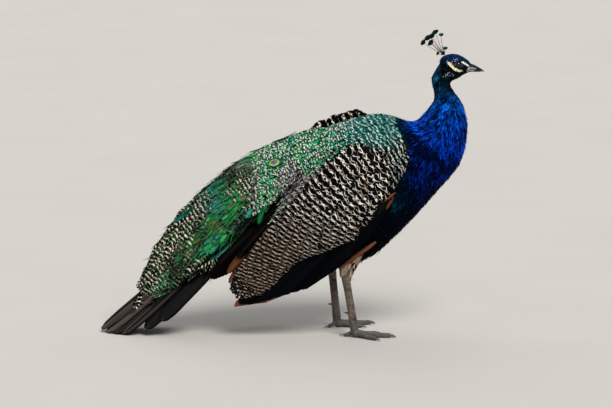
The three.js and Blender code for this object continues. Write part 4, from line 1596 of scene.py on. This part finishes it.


# %% [markdown]
# The train is half moulted, a thatch of short plumes and loose strands: green that flashes, bronze, teal,
# and a band of cream bars along the ridge, with painted shade that darkens it towards the eaves and in a
# few spots. Every plume gets its colours from where it grows: from soft-edged spots set in the side view,
# and from how near the eaves it is.

# %% Where the train's colours are
TRAIN_ARROWS = field("train", (
    (0.95, 0.95, -1.0, -0.42), (0.7, 0.9, -0.9, -0.5), (0.8, 0.55, -0.75, -0.66), (0.5, 0.7, -0.78, -0.65),
    (0.45, 0.35, -0.72, -0.7), (0.2, 0.4, -0.6, -0.8), (0.15, 0.1, -0.55, -0.85), (0.0, 0.05, -0.45, -0.9)))
RIDGE_X = [-0.326, -0.313, -0.288, -0.252, -0.208, -0.162, -0.110, -0.062, -0.010, 0.060]
RIDGE_Z = [0.092, 0.137, 0.191, 0.236, 0.283, 0.330, 0.369, 0.395, 0.418, 0.440]
EAVE_X = [-0.296, -0.262, -0.228, -0.190, -0.146, -0.098, -0.054, -0.018, 0.017, 0.080]
EAVE_Z = [0.056, 0.068, 0.088, 0.112, 0.150, 0.198, 0.246, 0.284, 0.318, 0.372]
TRAIN_SPOTS = {  # colour: rows of x, z, half length and half height, all in millimetres
    "bars": ((-179, 293, 30, 28), (-215, 240, 32, 32), (-253, 192, 34, 34), (-282, 135, 28, 42),
             (-300, 85, 26, 34), (-170, 166, 26, 18), (-80, 338, 30, 20), (-36, 290, 26, 28),
             (-225, 140, 22, 22)),
    "glow": ((-150, 268, 26, 30), (-118, 290, 34, 20), (-135, 214, 30, 30), (-60, 262, 20, 34),
             (-110, 325, 30, 18), (-185, 215, 22, 30), (-40, 385, 44, 14), (-245, 118, 26, 26),
             (-155, 318, 34, 10)),
    "olive": ((-138, 262, 14, 16), (-195, 205, 14, 14), (-215, 150, 12, 20)),
    "mauve": ((-12, 338, 30, 46), (-92, 373, 40, 5), (-2, 370, 24, 16)),
    # The dark spots are painted shade.
    "dark": ((-228, 170, 14, 24), (-165, 240, 10, 30), (-80, 232, 34, 34), (-120, 150, 60, 26),
             (-215, 105, 60, 24), (-100, 350, 26, 8)),
}


def follow_train(points):
    return follow(TRAIN_ARROWS, points)


def train_shares(points):
    """How far down the train a point is, and how far from its ridge towards its eaves, both 0 to 1."""
    down = (0.06 - points[:, 0]) / 0.39
    ridge_height = np.interp(points[:, 0], RIDGE_X, RIDGE_Z)
    eave_height = np.interp(points[:, 0], EAVE_X, EAVE_Z)
    side = (ridge_height - points[:, 2]) / (ridge_height - eave_height)
    return np.clip(down, 0, 1), np.clip(side, 0, 1.3)


def in_spots(points, colour, seed):
    """1 inside any spot of this colour and 0 well outside, with edges made ragged by waves."""
    best = np.zeros(len(points))
    ragged = 0.35 * wobble(points, 0.03, seed)
    for x, z, long, tall in TRAIN_SPOTS[colour]:
        away = np.hypot((points[:, 0] / MM - x) / long, (points[:, 2] / MM - z) / tall)
        best = np.maximum(best, ease(-(away + ragged), -1.35, -0.75))
    return best


def train_facts(roots):
    """What the train's finish reads from each feather."""
    side = train_shares(roots)[1]
    # Painted shade: in the dark spots and towards the eaves the flash and the cream bars are dimmed.
    dark = np.maximum(in_spots(roots, "dark", 105), ease(side, 0.72, 0.98))
    bars = in_spots(roots, "bars", 104) * (1 - 0.8 * dark)
    glow = np.clip((0.35 + in_spots(roots, "glow", 103)) * (1 - 0.85 * dark), 0, 1)
    return {"bars": bars, "glow": glow, "olive": in_spots(roots, "olive", 106),
            "mauve": in_spots(roots, "mauve", 107), "turns": train_turns}


train_turns = turns_on(TRAIN_ARROWS, at("train", 0.95, 0.95), [0, 0.1, 0.25],
                       [x * MM for x in (5.5, 7.5, 8.5)])
print("train spots", {colour: len(rows) for colour, rows in TRAIN_SPOTS.items()})


# %% [markdown]
# One finish serves the whole train. Values kept on each feather say how much it flashes, and whether it is
# barred, olive or mauve, so the colours drift into each other as they do on a real, worn train.

# %% Train finish
def train_plumage():
    made = material("plumage_train", 0.5, metallic=0.15, specular=0.0)
    own = use(FEATHER, Barbs=110.0)
    spot = object_spot()
    deep = blend(own["Tone"], (0.001, 0.003, 0.002), (0.002, 0.012, 0.006))
    lit = blend(smooth(own["Tone"], 0.3, 0.8), (0.004, 0.23, 0.07), (0.012, 0.42, 0.085))
    teal = smooth(noise(own["Root"], 22.0), 0.48, 0.56)
    lit = blend(teal, lit, (0.006, 0.26, 0.19))
    lit = blend(times(own_value("olive"), 0.8), lit, (0.10, 0.17, 0.025))
    share = scaled(own["Strand"], 1.6, scaled(own["Tone"], 0.6, -0.95))
    share = plus(share, times(own_value("glow"), 0.6))
    colour = blend(smooth(share, 0.42, 0.80), deep, lit)
    mauve = blend(noise(spot, 140.0), (0.09, 0.07, 0.07), (0.40, 0.33, 0.32))
    colour = blend(times(own_value("mauve"), 0.9), colour, mauve)
    turns = scaled(own["Tone"], 0.7, own_value("turns"))
    bars = use(BARS, Turns=turns, Across=own["Across"], Spot=spot, Bow=-0.4, Dark=0.36, Line=0.45,
               Pinch=0.0, Waver=0.26)["Mask"]
    thin = use(BARS, Turns=turns, Across=own["Across"], Spot=spot, Bow=-0.5, Dark=0.41, Line=0.4,
               Pinch=0.1, Waver=0.4)["Mask"]
    cream = blend(noise(spot, 80.0), (0.86, 0.80, 0.66), (0.56, 0.50, 0.38))
    colour = blend(times(thin, 0.55), colour, (0.25, 0.27, 0.20))
    between = blend(own["Tone"], (0.002, 0.006, 0.004), (0.006, 0.028, 0.012))
    barred = smooth(own_value("bars"), 0.25, 0.6)
    colour = blend(times(barred, 0.8), colour, between)
    colour = blend(times(bars, barred), colour, cream)
    colour = blend(times(own["Shaft"], 0.25), colour, (0.30, 0.24, 0.17))
    return finished(made, colour, own["Height"], 0.4, 0.5 * MM)


TRAIN_STUFF = train_plumage()
print("train finish nodes", len(TRAIN_STUFF.node_tree.nodes))


# %% [markdown]
# Three layers make the thatch: plumes, broad barred vanes where the bars run, and over them fine loose
# strands that hide the edges between the two.

# %% Train plumes
def on_train(points, normals):
    side = train_shares(points)[1]
    inward = (normals[:, 2] < -0.25) & (side > 0.2)
    front_rim = (normals[:, 0] > 0.35) | (points[:, 0] > 0.045)
    return ~inward & ~front_rim & ~(on_cape(points) & (points[:, 0] > -0.045))


def lay_train(name, gap, seed, long, half, shape, lift, twist, ragged):
    roots, normals = scatter(train_bed, gap, seed, on_train)
    bars = train_facts(roots)["bars"]
    if shape == "strand":
        shown = bars < np.random.default_rng(seed + 2).random(len(roots))
    else:
        shown = (bars > 0.4) == (shape == "scale")
    roots, normals = roots[shown], normals[shown]
    down, side = train_shares(roots)
    long = long * np.interp(down, [0, 0.2, 0.8, 1], [0.7, 1, 1, 0.65])
    half = half * np.interp(side, [0.08, 0.3], [0.45, 1])
    made = lay(name, train_tree, roots, normals, follow_train, long, half, shape, lift=lift, camber=0.18,
               sink=1.0 * MM, twist=twist, ragged=ragged, seed=seed + 1, long=long, **train_facts(roots))
    finish_coat(made, TRAIN_STUFF, "green_plumage", "train")


lay_train("train_plumes", 7.5 * MM, 101, 40 * MM, 6.5 * MM, "plume", 5.0 * MM, 7, 0.25)
lay_train("train_barred", 9.5 * MM, 121, 48 * MM, 11.5 * MM, "scale", 5.0 * MM, 7, 0.2)
lay_train("train_strands", 5.0 * MM, 111, 46 * MM, 1.1 * MM, "strand", 8.0 * MM, 11, 0.4)


# %% [markdown]
# A few plumes stand out one by one. An eye is drawn as rings round a spot towards the vane's tip. The other
# vanes are emerald, olive or teal, and some have a bronze oval or white flecks.

# %% Finishes of eyed plumes and bright vanes
def eyed_plumage():
    """Rings drawn on the vane: lime, emerald, rust, teal and a dark blue heart set towards the tip."""
    made = material("plumage_eyed", 0.4, metallic=0.35, specular=0.1)
    own = use(FEATHER, Barbs=140.0)
    far = scaled(own["Along"], 1.85, -1.85 * 0.66)
    wide = scaled(own["Across"], 1.5, -0.75)
    ring = calc("SQRT", plus(square(far), square(wide)))
    ring = plus(ring, scaled(own["Strand"], 0.10, -0.05))
    heart = plus(ring, times(far, -0.35))
    colour = ramp(ring, [
        (0.00, (0.008, 0.20, 0.19)), (0.19, (0.008, 0.20, 0.17)), (0.23, (0.25, 0.055, 0.02)),
        (0.36, (0.26, 0.08, 0.025)), (0.40, (0.012, 0.30, 0.09)), (0.47, (0.05, 0.38, 0.09)),
        (0.51, (0.24, 0.46, 0.10)), (0.55, (0.003, 0.06, 0.03)), (1.00, (0.002, 0.035, 0.02))])
    colour = blend(smooth(heart, 0.17, 0.11), colour, (0.004, 0.018, 0.26))
    return finished(made, colour, own["Height"])


def vane_plumage(name, edge, lit, flecks=False, bronze=False):
    """A bright vane streaked with a deep colour and, if wished, a bronze oval or white flecks on it."""
    made = material(name, 0.42, metallic=0.3, specular=0.1)
    own = use(FEATHER, Barbs=150.0)
    share = scaled(own["Strand"], 1.7, -0.45)
    colour = blend(smooth(share, 0.2, 0.6), edge, lit)
    if bronze:
        far = scaled(own["Along"], 2.2, -2.2 * 0.62)
        wide = scaled(own["Across"], 2.0, -1.0)
        ring = plus(square(far), square(wide))
        ring = plus(ring, scaled(own["Strand"], 0.5, -0.25))
        colour = blend(smooth(ring, 0.36, 0.14), colour, (0.14, 0.055, 0.022))
    if flecks:
        spot = object_spot()
        cells = node("TexVoronoi", {"Vector": spot, "Scale": 170.0}).outputs["Distance"]
        colour = blend(smooth(cells, 0.34, 0.22), colour, (0.75, 0.72, 0.62))
    return finished(made, colour, own["Height"])


EYED = eyed_plumage()
EMERALD_VANE = vane_plumage("vane_emerald", (0.001, 0.03, 0.012), (0.008, 0.27, 0.075))
OLIVE_VANE = vane_plumage("vane_olive", (0.01, 0.045, 0.01), (0.11, 0.18, 0.035))
TEAL_VANE = vane_plumage("vane_teal", (0.002, 0.03, 0.02), (0.008, 0.19, 0.13))
BRONZE_VANE = vane_plumage("vane_bronze", (0.004, 0.12, 0.04), (0.015, 0.30, 0.07), bronze=True)
FLECKED_VANE = vane_plumage("vane_flecked", (0.004, 0.10, 0.045), (0.015, 0.36, 0.13), flecks=True)
print("bright vanes", len((EMERALD_VANE, OLIVE_VANE, TEAL_VANE, BRONZE_VANE, FLECKED_VANE)))


# %% [markdown]
# These plumes are laid on top of the thatch in the same way, but each where it is wanted: a line from the
# side finds its root on the bed.

# %% Eyed plumes and bright vanes
SHOW_PLUMES = (  # finish, then rows of root x and z, way back and up, length and half width, in millimetres
    ("eyed", EYED, ((-12, 376, -0.9, -0.42, 38, 12.0),)),
    ("bronze", BRONZE_VANE, ((-82, 312, -0.75, -0.6, 36, 10), (-106, 296, -0.7, -0.7, 36, 10),
                             (-92, 330, -0.9, -0.45, 34, 8))),
    ("emerald", EMERALD_VANE, ((-57, 284, -0.28, -1.0, 42, 6.5), (-134, 284, -0.7, -0.75, 50, 8.5),
                               (-124, 236, -0.45, -0.9, 50, 7))),
    ("olive", OLIVE_VANE, ((-130, 274, -0.35, -1.0, 44, 8.0), (-172, 226, -0.8, -0.6, 44, 7))),
    ("teal", TEAL_VANE, ((-122, 334, -0.95, -0.35, 52, 7), (-190, 282, -0.8, -0.6, 74, 6),
                         (-240, 150, -0.4, -0.95, 56, 4), (-222, 132, -0.35, -0.95, 60, 3.5))),
    ("flecked", FLECKED_VANE, ((-250, 130, -0.76, -0.68, 56, 7),)),
)


def side_spot(bed, x, z, mark):
    """Where a line from the side meets a bed, and the bed's normal there."""
    out = OUT[mark]
    hit, facing, *_ = bed.ray_cast(Vector((x * MM, 0.3 * out, z * MM)), Vector((0, -out, 0)))
    return np.array(hit), np.array(facing)


def lay_show_plumes(label, stuff, rows):
    for mark in "RL":
        beds = [cape_tree if x > -60 else train_tree for x, *_ in rows]
        spots_here = [side_spot(bed, x, z, mark) for bed, (x, z, *_) in zip(beds, rows)]
        roots, normals = (np.array(part) for part in zip(*spots_here))
        ways = unit(np.array([(back, 0, rise) for _, _, back, rise, *_ in rows], dtype=float))
        long, half = np.array([row[4:] for row in rows], dtype=float).T * MM
        made = lay(label + "_plumes_" + mark, train_tree, roots + normals * 1.5 * MM, normals,
                   lambda place: ways, long, half, "plume", SHAFTED, thick=0.3 * MM, lift=6.0 * MM,
                   camber=0.10, sink=0.5 * MM, twist=2, ragged=0.0, unwrap=side_unwrap, seed=131, long=long)
        finish_coat(made, stuff, "green_plumage")


for label, stuff, rows in SHOW_PLUMES:
    lay_show_plumes(label, stuff, rows)


# %% [markdown]
# The line of the train's ridge isn't smooth: the tips of loose dark plumes break it.

# %% Plumes along the ridge
DARK_VANE = vane_plumage("vane_dark", (0.001, 0.006, 0.004), (0.004, 0.09, 0.055))
RIDGE_PLUMES = (  # root x and z, and length, in millimetres
    (10, 436, 52), (-34, 414, 56), (-62, 398, 66), (-84, 388, 62), (-118, 366, 74), (-146, 346, 60),
    (-176, 322, 70), (-204, 290, 64), (-236, 254, 60))


def lay_ridge_plumes():
    starts, ends = [], []
    for index, (x, z, long) in enumerate(RIDGE_PLUMES):
        slope = np.interp((x - long) * MM, RIDGE_X, RIDGE_Z) + (1.5 + index % 3) * MM
        y = (-6, 3, -2)[index % 3] * MM
        starts.append((x * MM, y, (z - 8) * MM))
        ends.append(((x - long) * MM, y * 1.3, slope))
    across = np.tile((0.1, 0.9, -0.35), (len(starts), 1))
    made = straight("ridge_plumes", starts, ends, across, 4.5 * MM, "plume", thick=0.3 * MM, bow=3.0 * MM,
                    unwrap=body_unwrap, seed=139)
    finish_coat(made, DARK_VANE, "green_plumage")


lay_ridge_plumes()


# %% [markdown]
# The tail is a folded fan of twelve stiff feathers whose worn tips touch the ground. The outer ones are
# shorter and nearly black.

# %% Tail
def tail_finish():
    made = material("quill_tail", 0.6, specular=0.1)
    own = use(FEATHER, Barbs=160.0)
    share = scaled(own["Strand"], 1.4, scaled(own["Tone"], 0.4, -0.55))
    colour = blend(smooth(share, 0.1, 0.6), (0.005, 0.004, 0.004), (0.070, 0.052, 0.048))
    colour = blend(own["Shaft"], colour, (0.09, 0.07, 0.055))
    worn = times(own_value("brown"), smooth(own["Along"], 0.45, 0.75))
    return finished(made, blend(worn, (0.003, 0.003, 0.0035), colour), own["Height"], depth=0.5 * MM)


TAIL_TIPS = (  # on each side, from the middle outwards: shares of the node's length and height, and brownness
    (0.000, 0.022, 1.0), (0.030, 0.008, 1.0), (0.070, 0.003, 0.9), (0.120, 0.012, 0.6), (0.245, 0.050, 0.05),
    (0.330, 0.110, 0.0))


def lay_tail():
    starts, ends, across, half, brown = [], [], [], [], []
    for side in (-1, 1):
        for index, (along, up, colour) in enumerate(TAIL_TIPS):
            share = index / (len(TAIL_TIPS) - 1)
            start = at("tail", 0.921, 0.929 - 0.10 * share)
            end = at("tail", along + (0.006 if side > 0 else 0), up)
            start[1] = side * (4 + 22 * share) * MM
            end[1] = side * (7 + 52 * share) * MM
            tilt = 0.55 + 0.65 * share
            starts.append(start)
            ends.append(end)
            across.append((0, side * math.cos(tilt), -math.sin(tilt)))
            half.append((19 - 2 * share) * MM)
            brown.append(colour)
    made = straight("tail_quills", starts, ends, across, half, "worn", thick=0.7 * MM, seed=141,
                    brown=np.array(brown))
    finish_coat(made, tail_finish(), "tail_feathers", "tail")


lay_tail()


# %% [markdown]
# Soft black feathers hang over the roots of the tail from under the train. They grow along its eaves.

# %% Soft feathers under the train
def at_eaves(points, normals):
    return (train_shares(points)[1] > 0.82) & (points[:, 0] < 0.02)


roots, normals = scatter(train_bed, 6.5 * MM, 143, at_eaves)
under_tail = lay("under_tail", train_tree, roots, normals, lambda place: follow_train(place) * [1, 1, 1.15],
                 np.interp(train_shares(roots)[0], [0, 0.5, 1], [60, 70, 45]) * MM, 3.2 * MM, "strand",
                 lift=-2.0 * MM, sink=0.5 * MM, twist=6, ragged=0.3, hold=0.4, seed=144)
finish_coat(under_tail, BLACK_QUILL, "black_plumage")


# %% [markdown]
# The crest is a fan of thin brown quills, bare but for a small dark flag of barbs at the tip. The quills are
# blades as thick as bristles; a flag is thirteen short blades spread from the quill's end.

# %% Crest
CREST_FAN = (  # lean from level, sway to the side, length, size of the flag
    (150, -8, 53, 1.0), (137, 9, 50, 1.1), (124, -8, 49, 1.1), (113, 10, 51, 1.0), (101, -10, 44, 0.75),
    (143, 38, 45, 1.1), (130, 24, 50, 1.0), (92, -57, 30, 0.8), (125, -75, 30, 0.7), (158, -60, 34, 0.6))


def flag_finish():
    made = material("crest_flag", 0.5, metallic=0.2, specular=0.05)
    own = use(FEATHER, Barbs=160.0)
    # Some flags get a painted teal sheen towards their tips.
    shine = times(own_value("glow"), smooth(own["Along"], 0.2, 0.9))
    colour = blend(shine, (0.0012, 0.002, 0.004), (0.004, 0.13, 0.14))
    return finished(made, colour, own["Height"])


CREST_QUILL = plain_feather("crest_quill", (0.03, 0.018, 0.012), (0.11, 0.07, 0.05), 0.6)
CREST_FLAG = flag_finish()


def lay_crest():
    pad = at("crest", 0.965, 0.06)
    pad[1] = 0
    ways, longs = [], []
    for lean, sway, long, _ in CREST_FAN:
        a, b = math.radians(lean), math.radians(sway)
        ways.append((math.cos(a) * math.cos(b), math.sin(b), math.sin(a) * math.cos(b)))
        longs.append(long * MM)
    ways = unit(np.array(ways))
    longs = np.array(longs)
    ends = pad + ways * longs[:, None]
    starts = pad - ways * 1.0 * MM
    across = np.tile((0.0, 1.0, 0.0), (len(ways), 1)) + 0.01
    shafts = straight("crest_quills", starts, ends, across, 0.7 * MM, "quill", THIN, thick=0.7 * MM,
                      camber=0, bow=2.0 * MM, seed=121)
    finish_coat(shafts, CREST_QUILL, "crest_feathers")
    flags, tips, sides, glow = [], [], [], []
    for way, end, (lean, *_, size) in zip(ways, ends, CREST_FAN):
        flat = unit(np.array((way[0], way[1] * 0.15, way[2])))
        seen_across = unit(np.cross(flat, (0.0, 1.0, 0.0)))
        foot = end - flat * 4.5 * MM * size
        for step in range(-6, 7):
            bend = step * 0.15
            out = flat * math.cos(bend) + seen_across * math.sin(bend)
            flags.append(foot)
            tips.append(foot + out * 9.5 * MM * size)
            sides.append(seen_across * math.cos(bend) - flat * math.sin(bend))
            # The most upright quills carry flags with the painted teal sheen.
            glow.append(1.0 if lean < 105 and step > -3 else 0.1)
    made = straight("crest_flags", flags, tips, sides, 1.1 * MM, "scale", THIN, thick=0.35 * MM, camber=0,
                    seed=122, glow=np.array(glow))
    finish_coat(made, CREST_FLAG, "crest_feathers", "crest")


lay_crest()


# %% [markdown]
# The bare white stripes, the black-green mask between them and the blue crown are drawn on the skin, with
# the same blues as the coat. A stripe's edge is kept as a distance on the skin's corners, so the shader
# can draw it crisply.

# %% Skin finish
points = spots(skin)
store(skin, "stripe_gap", stripe_gap(points))
store(skin, "lid_gap", np.clip(eye_gap(points), 0, 4))
store(skin, "back", on_back(points).astype(float))
store(skin, "beak", (points[:, 0] - np.interp(points[:, 2], HORN_EDGE_Z, HORN_EDGE_X)) / MM)


def skin_finish():
    made = material("skin", 0.6, specular=0.04)
    spot = object_spot()
    grain = noise(spot, 900.0, 3.0)
    colour = use(BLUES, Spot=spot, Lit=times(grain, 0.5))["Colour"]
    colour = blend(own_value("back"), colour, (0.004, 0.018, 0.011))
    xyz = parts_of(spot)
    past_thigh = calc("MAXIMUM", minus(xyz["X"], 0.145), 0.0)
    thigh = smooth(plus(xyz["Z"], past_thigh), 0.185, 0.172)
    colour = blend(thigh, colour, (0.16, 0.11, 0.07))
    gap = plus(own_value("stripe_gap"), scaled(noise(spot, 330.0, 1.0), 5.6, -2.8))
    bare = blend(smooth(noise(spot, 200.0), 0.35, 0.5), (0.62, 0.50, 0.20), (0.88, 0.86, 0.60))
    stain = smooth(noise(spot, 480.0, 1.0), 0.55, 0.62)
    bare = blend(times(stain, 0.75), bare, (0.10, 0.07, 0.02))
    colour = blend(smooth(gap, 0.45, -0.25), colour, bare)
    lid = smooth(own_value("lid_gap"), 1.7, 1.4)
    colour = blend(lid, colour, (0.006, 0.007, 0.009))
    rim = smooth(size_of(minus(own_value("lid_gap"), 1.3)), 0.12, 0.04)
    colour = blend(times(rim, noise(spot, 300.0)), colour, (0.09, 0.11, 0.15))
    beak = smooth(own_value("beak"), -0.2, 0.3)
    above = smooth(xyz["Z"], 0.5570, 0.5582)
    # A thin dark line at the gape is painted shade, where the two halves of the bill meet.
    line = smooth(size_of(minus(xyz["Z"], 0.5572)), 0.8 * MM, 0.3 * MM)
    horn = blend(above, (0.34, 0.27, 0.20), (0.30, 0.29, 0.33))
    horn = blend(smooth(xyz["Z"], 0.5632, 0.5650), horn, (0.006, 0.008, 0.016))
    horn = blend(line, horn, (0.01, 0.009, 0.01))
    colour = blend(beak, colour, horn)
    return finished(made, colour, grain, depth=0.25 * MM)


skin.data.materials.append(skin_finish())
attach(skin, "root")
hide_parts(*FLESH)
print("skin finished,", len(skin.data.polygons), "faces")


# %% [markdown]
# The beds show only between the feathers of wings and train, so they are painted nearly black as shade.

# %% Painted shade on the beds
def bed_shade(name, deep, lit):
    made = material(name, 0.75, specular=0.02)
    return finished(made, blend(noise(object_spot(), 120.0, 3.0), deep, lit))


DARK_BED = bed_shade("under_wing", (0.001, 0.0012, 0.002), (0.006, 0.006, 0.007))
GREEN_BED = bed_shade("under_train", (0.001, 0.002, 0.0015), (0.005, 0.014, 0.008))
for mark in "RL":
    finish_coat(wing_bed[mark], DARK_BED, "barred_plumage", "wing_shield_" + mark)
finish_coat(train_bed, GREEN_BED, "green_plumage", "train")
finish_coat(ridge, DARK_BED, "barred_plumage", "scapulars_L")


# %% [markdown]
# The eyes are glass-smooth balls: dark brown iris, black pupil, and a clear coat that catches the light.

# %% Eyes
def eye_finish():
    made = material("eye_glass", 0.12, specular=0.3, coat=0.4)
    turn, angle, _ = parts_of(node("UVMap", uv_map="Ball").outputs[0])
    rays = noise(node("CombineXYZ", {"X": times(turn, 40.0)}).outputs[0], 1.0, 3.0)
    iris = blend(rays, (0.006, 0.003, 0.002), (0.020, 0.009, 0.005))
    iris = blend(smooth(angle, 0.22, 0.27), iris, (0.002, 0.0015, 0.002))
    return finished(made, blend(smooth(angle, 0.165, 0.150), iris, (0.001, 0.001, 0.001)))


EYE_GLASS = eye_finish()
for name in ("eye_R", "eye_L"):
    centre, ahead, up, out = eye_frame(name)
    bm = bmesh.new()
    bmesh.ops.create_uvsphere(bm, u_segments=48, v_segments=32, radius=EYE_BALL)
    layer = bm.loops.layers.uv.new("Ball")
    for face in bm.faces:
        face.smooth = True
        for loop in face.loops:
            here = loop.vert.co / EYE_BALL
            tilt = math.acos(max(-1, min(1, here.z)))
            loop[layer].uv = (math.atan2(here.y, here.x) / math.tau + 0.5, tilt / math.pi)
    turn = Vector((0, 0, 1)).rotation_difference(Vector(out)).to_matrix()
    bmesh.ops.rotate(bm, verts=bm.verts, matrix=turn)
    bmesh.ops.translate(bm, verts=bm.verts, vec=Vector(centre))
    ball = object_from(bm, "eyeball_" + name[-1])
    finish_coat(ball, EYE_GLASS, "eye", name)
print("eyes", round(EYE_BALL * 2 / MM, 1), "mm across")


# %% [markdown]
# The bill is horn, with streaks along it and a dark ridge. Where it is dark is kept on its corners, and
# with it painted shade along the mouth and under the lower half.

# %% Finish of the bill
def horn_finish(name, deep, lit):
    made = material(name, 0.45, specular=0.12)
    spot = object_spot()
    streak = streaks(spot, (60, 500, 500), 3.0)
    colour = blend(own_value("ridge"), blend(streak, deep, lit), (0.006, 0.008, 0.016))
    return finished(made, colour, streak, 0.15, 0.2 * MM)


def push_base(points, share):
    """Pushes the bill's base back into the head, where share is how far from it each point is."""
    points[:, 0] -= 2.2 * MM * ease(-share, -0.14, -0.03)


bill_low, bill_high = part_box("bill_upper")
BILL_LONG = bill_high.x - bill_low.x
print("bill", round(BILL_LONG / MM, 1), "mm")


# %% [markdown]
# The upper half is fused from its solid on a very fine grid. Then it gets a nostril, and its cutting edge is
# drawn down over the lower half.

# %% Upper half of the bill
upper = fused("bill_top", ["bill_upper"], 0.45 * MM, 6)
points = spots(upper)
share = (points[:, 0] - bill_low.x) / BILL_LONG
stations = np.linspace(0, 1, 21)
slices = [points[np.abs(share - station) < 0.03, 2] for station in stations]
top = np.interp(share, stations, [heights.max() for heights in slices])
tall = top - np.interp(share, stations, [heights.min() for heights in slices])
nostril = np.array([bill_low.x + 0.36 * BILL_LONG, 0, bill_high.z - 5.2 * MM])
gap = np.hypot((points[:, 0] - nostril[0]) / 2.6, (points[:, 2] - nostril[2]) / 1.0) / MM
dent = 1.1 * MM * np.exp(-gap ** 2)
points -= outward(upper) * (dent * (np.abs(points[:, 1]) > 1.5 * MM))[:, None]
down = (top - points[:, 2]) / tall
push_base(points, share)
points[:, 2] -= 0.8 * MM * ease(down, 0.6, 0.95)
put_back(upper, points)
culmen = ease(-down, -0.66, -0.52)
# Dark along the upper half's lower edge is painted shade, where it closes over the lower half.
mouth_shade = ease(down, 0.78, 0.86)
store(upper, "ridge", np.maximum.reduce([culmen, mouth_shade, ease(share - 0.15 * down, 0.20, 0.36)]))
finish_coat(upper, horn_finish("horn_bill", (0.26, 0.25, 0.29), (0.50, 0.47, 0.53)), "horn", "bill_upper")
print("bill, upper half", len(upper.data.polygons), "faces")


# %% [markdown]
# The lower half is made in the same way and closes against the upper one.

# %% Lower half of the bill
lower = fused("bill_bottom", ["bill_lower"], 0.45 * MM, 6)
points = spots(lower)
low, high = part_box("bill_lower")
# Dark along the bottom of the lower half is painted shade on its underside.
under = ease(-points[:, 2], -low.z - 3.0 * MM, -low.z - 2.0 * MM)
share = (points[:, 0] - low.x) / (high.x - low.x)
store(lower, "ridge", np.maximum(under * 0.85, ease(share, 0.3, 0.5)))
push_base(points, share)
points[:, 2] += 0.5 * MM * ease(points[:, 2], high.z - 2 * MM, high.z)
put_back(lower, points)
finish_coat(lower, horn_finish("horn_jaw", (0.18, 0.14, 0.11), (0.40, 0.33, 0.26)), "horn", "bill_lower")
print("bill, lower half", len(lower.data.polygons), "faces")


# %% [markdown]
# The legs are bare and scaly: broad overlapping plates down the front of the shank and along each toe,
# small round scales elsewhere. Plates are lifted from the mesh itself; the small scales are a bump.

# %% Legs and feet
def leg_finish():
    made = material("leg_scales", 0.6, specular=0.25)
    spot = object_spot()
    cells = node("TexVoronoi", {"Vector": spot, "Scale": 420.0}, feature="DISTANCE_TO_EDGE")
    scale = smooth(cells.outputs["Distance"], 0.0, 0.12)
    stain = noise(spot, 60.0, 4.0)
    colour = blend(smooth(stain, 0.35, 0.65), (0.018, 0.012, 0.008), (0.135, 0.102, 0.074))
    foot = smooth(parts_of(spot)["Z"], 0.05, 0.015)
    colour = blend(foot, colour, blend(stain, (0.045, 0.043, 0.042), (0.12, 0.115, 0.112)))
    worn = smooth(noise(spot, 210.0, 1.0), 0.55, 0.68)
    colour = blend(times(worn, 0.45), colour, (0.24, 0.21, 0.18))
    colour = blend(own_value("plate"), blend(0.8, colour, (0.015, 0.011, 0.009)), colour)
    colour = blend(times(minus(1.0, scale), 0.5), colour, (0.03, 0.024, 0.02))
    return finished(made, colour, scale, 0.35)


LEG_SCALES = leg_finish()
PLATE_LONG = 7.5 * MM
TOE_PLATE_LONG = 5.0 * MM


def plates(distance, long):
    """1 on the flat of each plate and 0 in the grooves between them."""
    return 1 - np.abs(2 * ((distance / long) % 1.0) - 1) ** 6


def lay_leg(mark):
    made = fused("leg_" + mark, ["shank_" + mark, "foot_" + mark], 1.1 * MM, 4)
    points = spots(made)
    ways = outward(made)
    on_shank = ease(points[:, 2], 16 * MM, 24 * MM)
    plate = plates(points[:, 2], PLATE_LONG)
    front = ease(ways[:, 0], 0.15, 0.6) * on_shank
    ankle = at("shank_" + mark, 0.5, 0)[:2]
    toe_plate = plates(np.linalg.norm(points[:, :2] - ankle, axis=1), TOE_PLATE_LONG)
    top = ease(ways[:, 2], 0.2, 0.7) * (1 - on_shank)
    lift = (plate * 0.9 - 0.2) * MM * front + (toe_plate * 0.6 - 0.15) * MM * top
    padded = 1.5 * MM * on_shank + 0.9 * MM * (1 - on_shank)
    points = points + ways * (lift + padded)[:, None]
    points[:, 2] = np.maximum(points[:, 2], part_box("foot_" + mark)[0].z)
    put_back(made, points)
    store(made, "plate", np.clip(plate * front + toe_plate * top + (1 - front) * (1 - top) * 0.8, 0, 1))
    finish_coat(made, LEG_SCALES, "leg_skin", "shank_" + mark, "foot_" + mark)
    print("leg", mark, len(made.data.polygons), "faces")


for mark in "RL":
    lay_leg(mark)


# %% [markdown]
# Claws and spurs are smooth, dark horn with fine streaks along them. Each is fused from its own solid, which
# rounds its edges and closes its point.

# %% Claws and spurs
def claw_finish():
    made = material("horn_claw", 0.35, specular=0.5)
    spot = object_spot()
    streak = streaks(spot, (500, 500, 120), 2.0)
    return finished(made, blend(streak, (0.030, 0.026, 0.024), (0.14, 0.12, 0.10)), streak, 0.2, 0.2 * MM)


CLAW_HORN = claw_finish()
for mark in "RL":
    for part in ("claw_inner_", "claw_middle_", "claw_outer_", "claw_hind_", "spur_"):
        label = part.replace("claw", "nail").replace("spur", "heel_spur")
        made = fused(label + mark, [part + mark], 0.5 * MM, 3)
        points = spots(made)
        points[:, 2] = np.maximum(points[:, 2], 0.2 * MM)
        put_back(made, points)
        finish_coat(made, CLAW_HORN, "horn", part + mark)
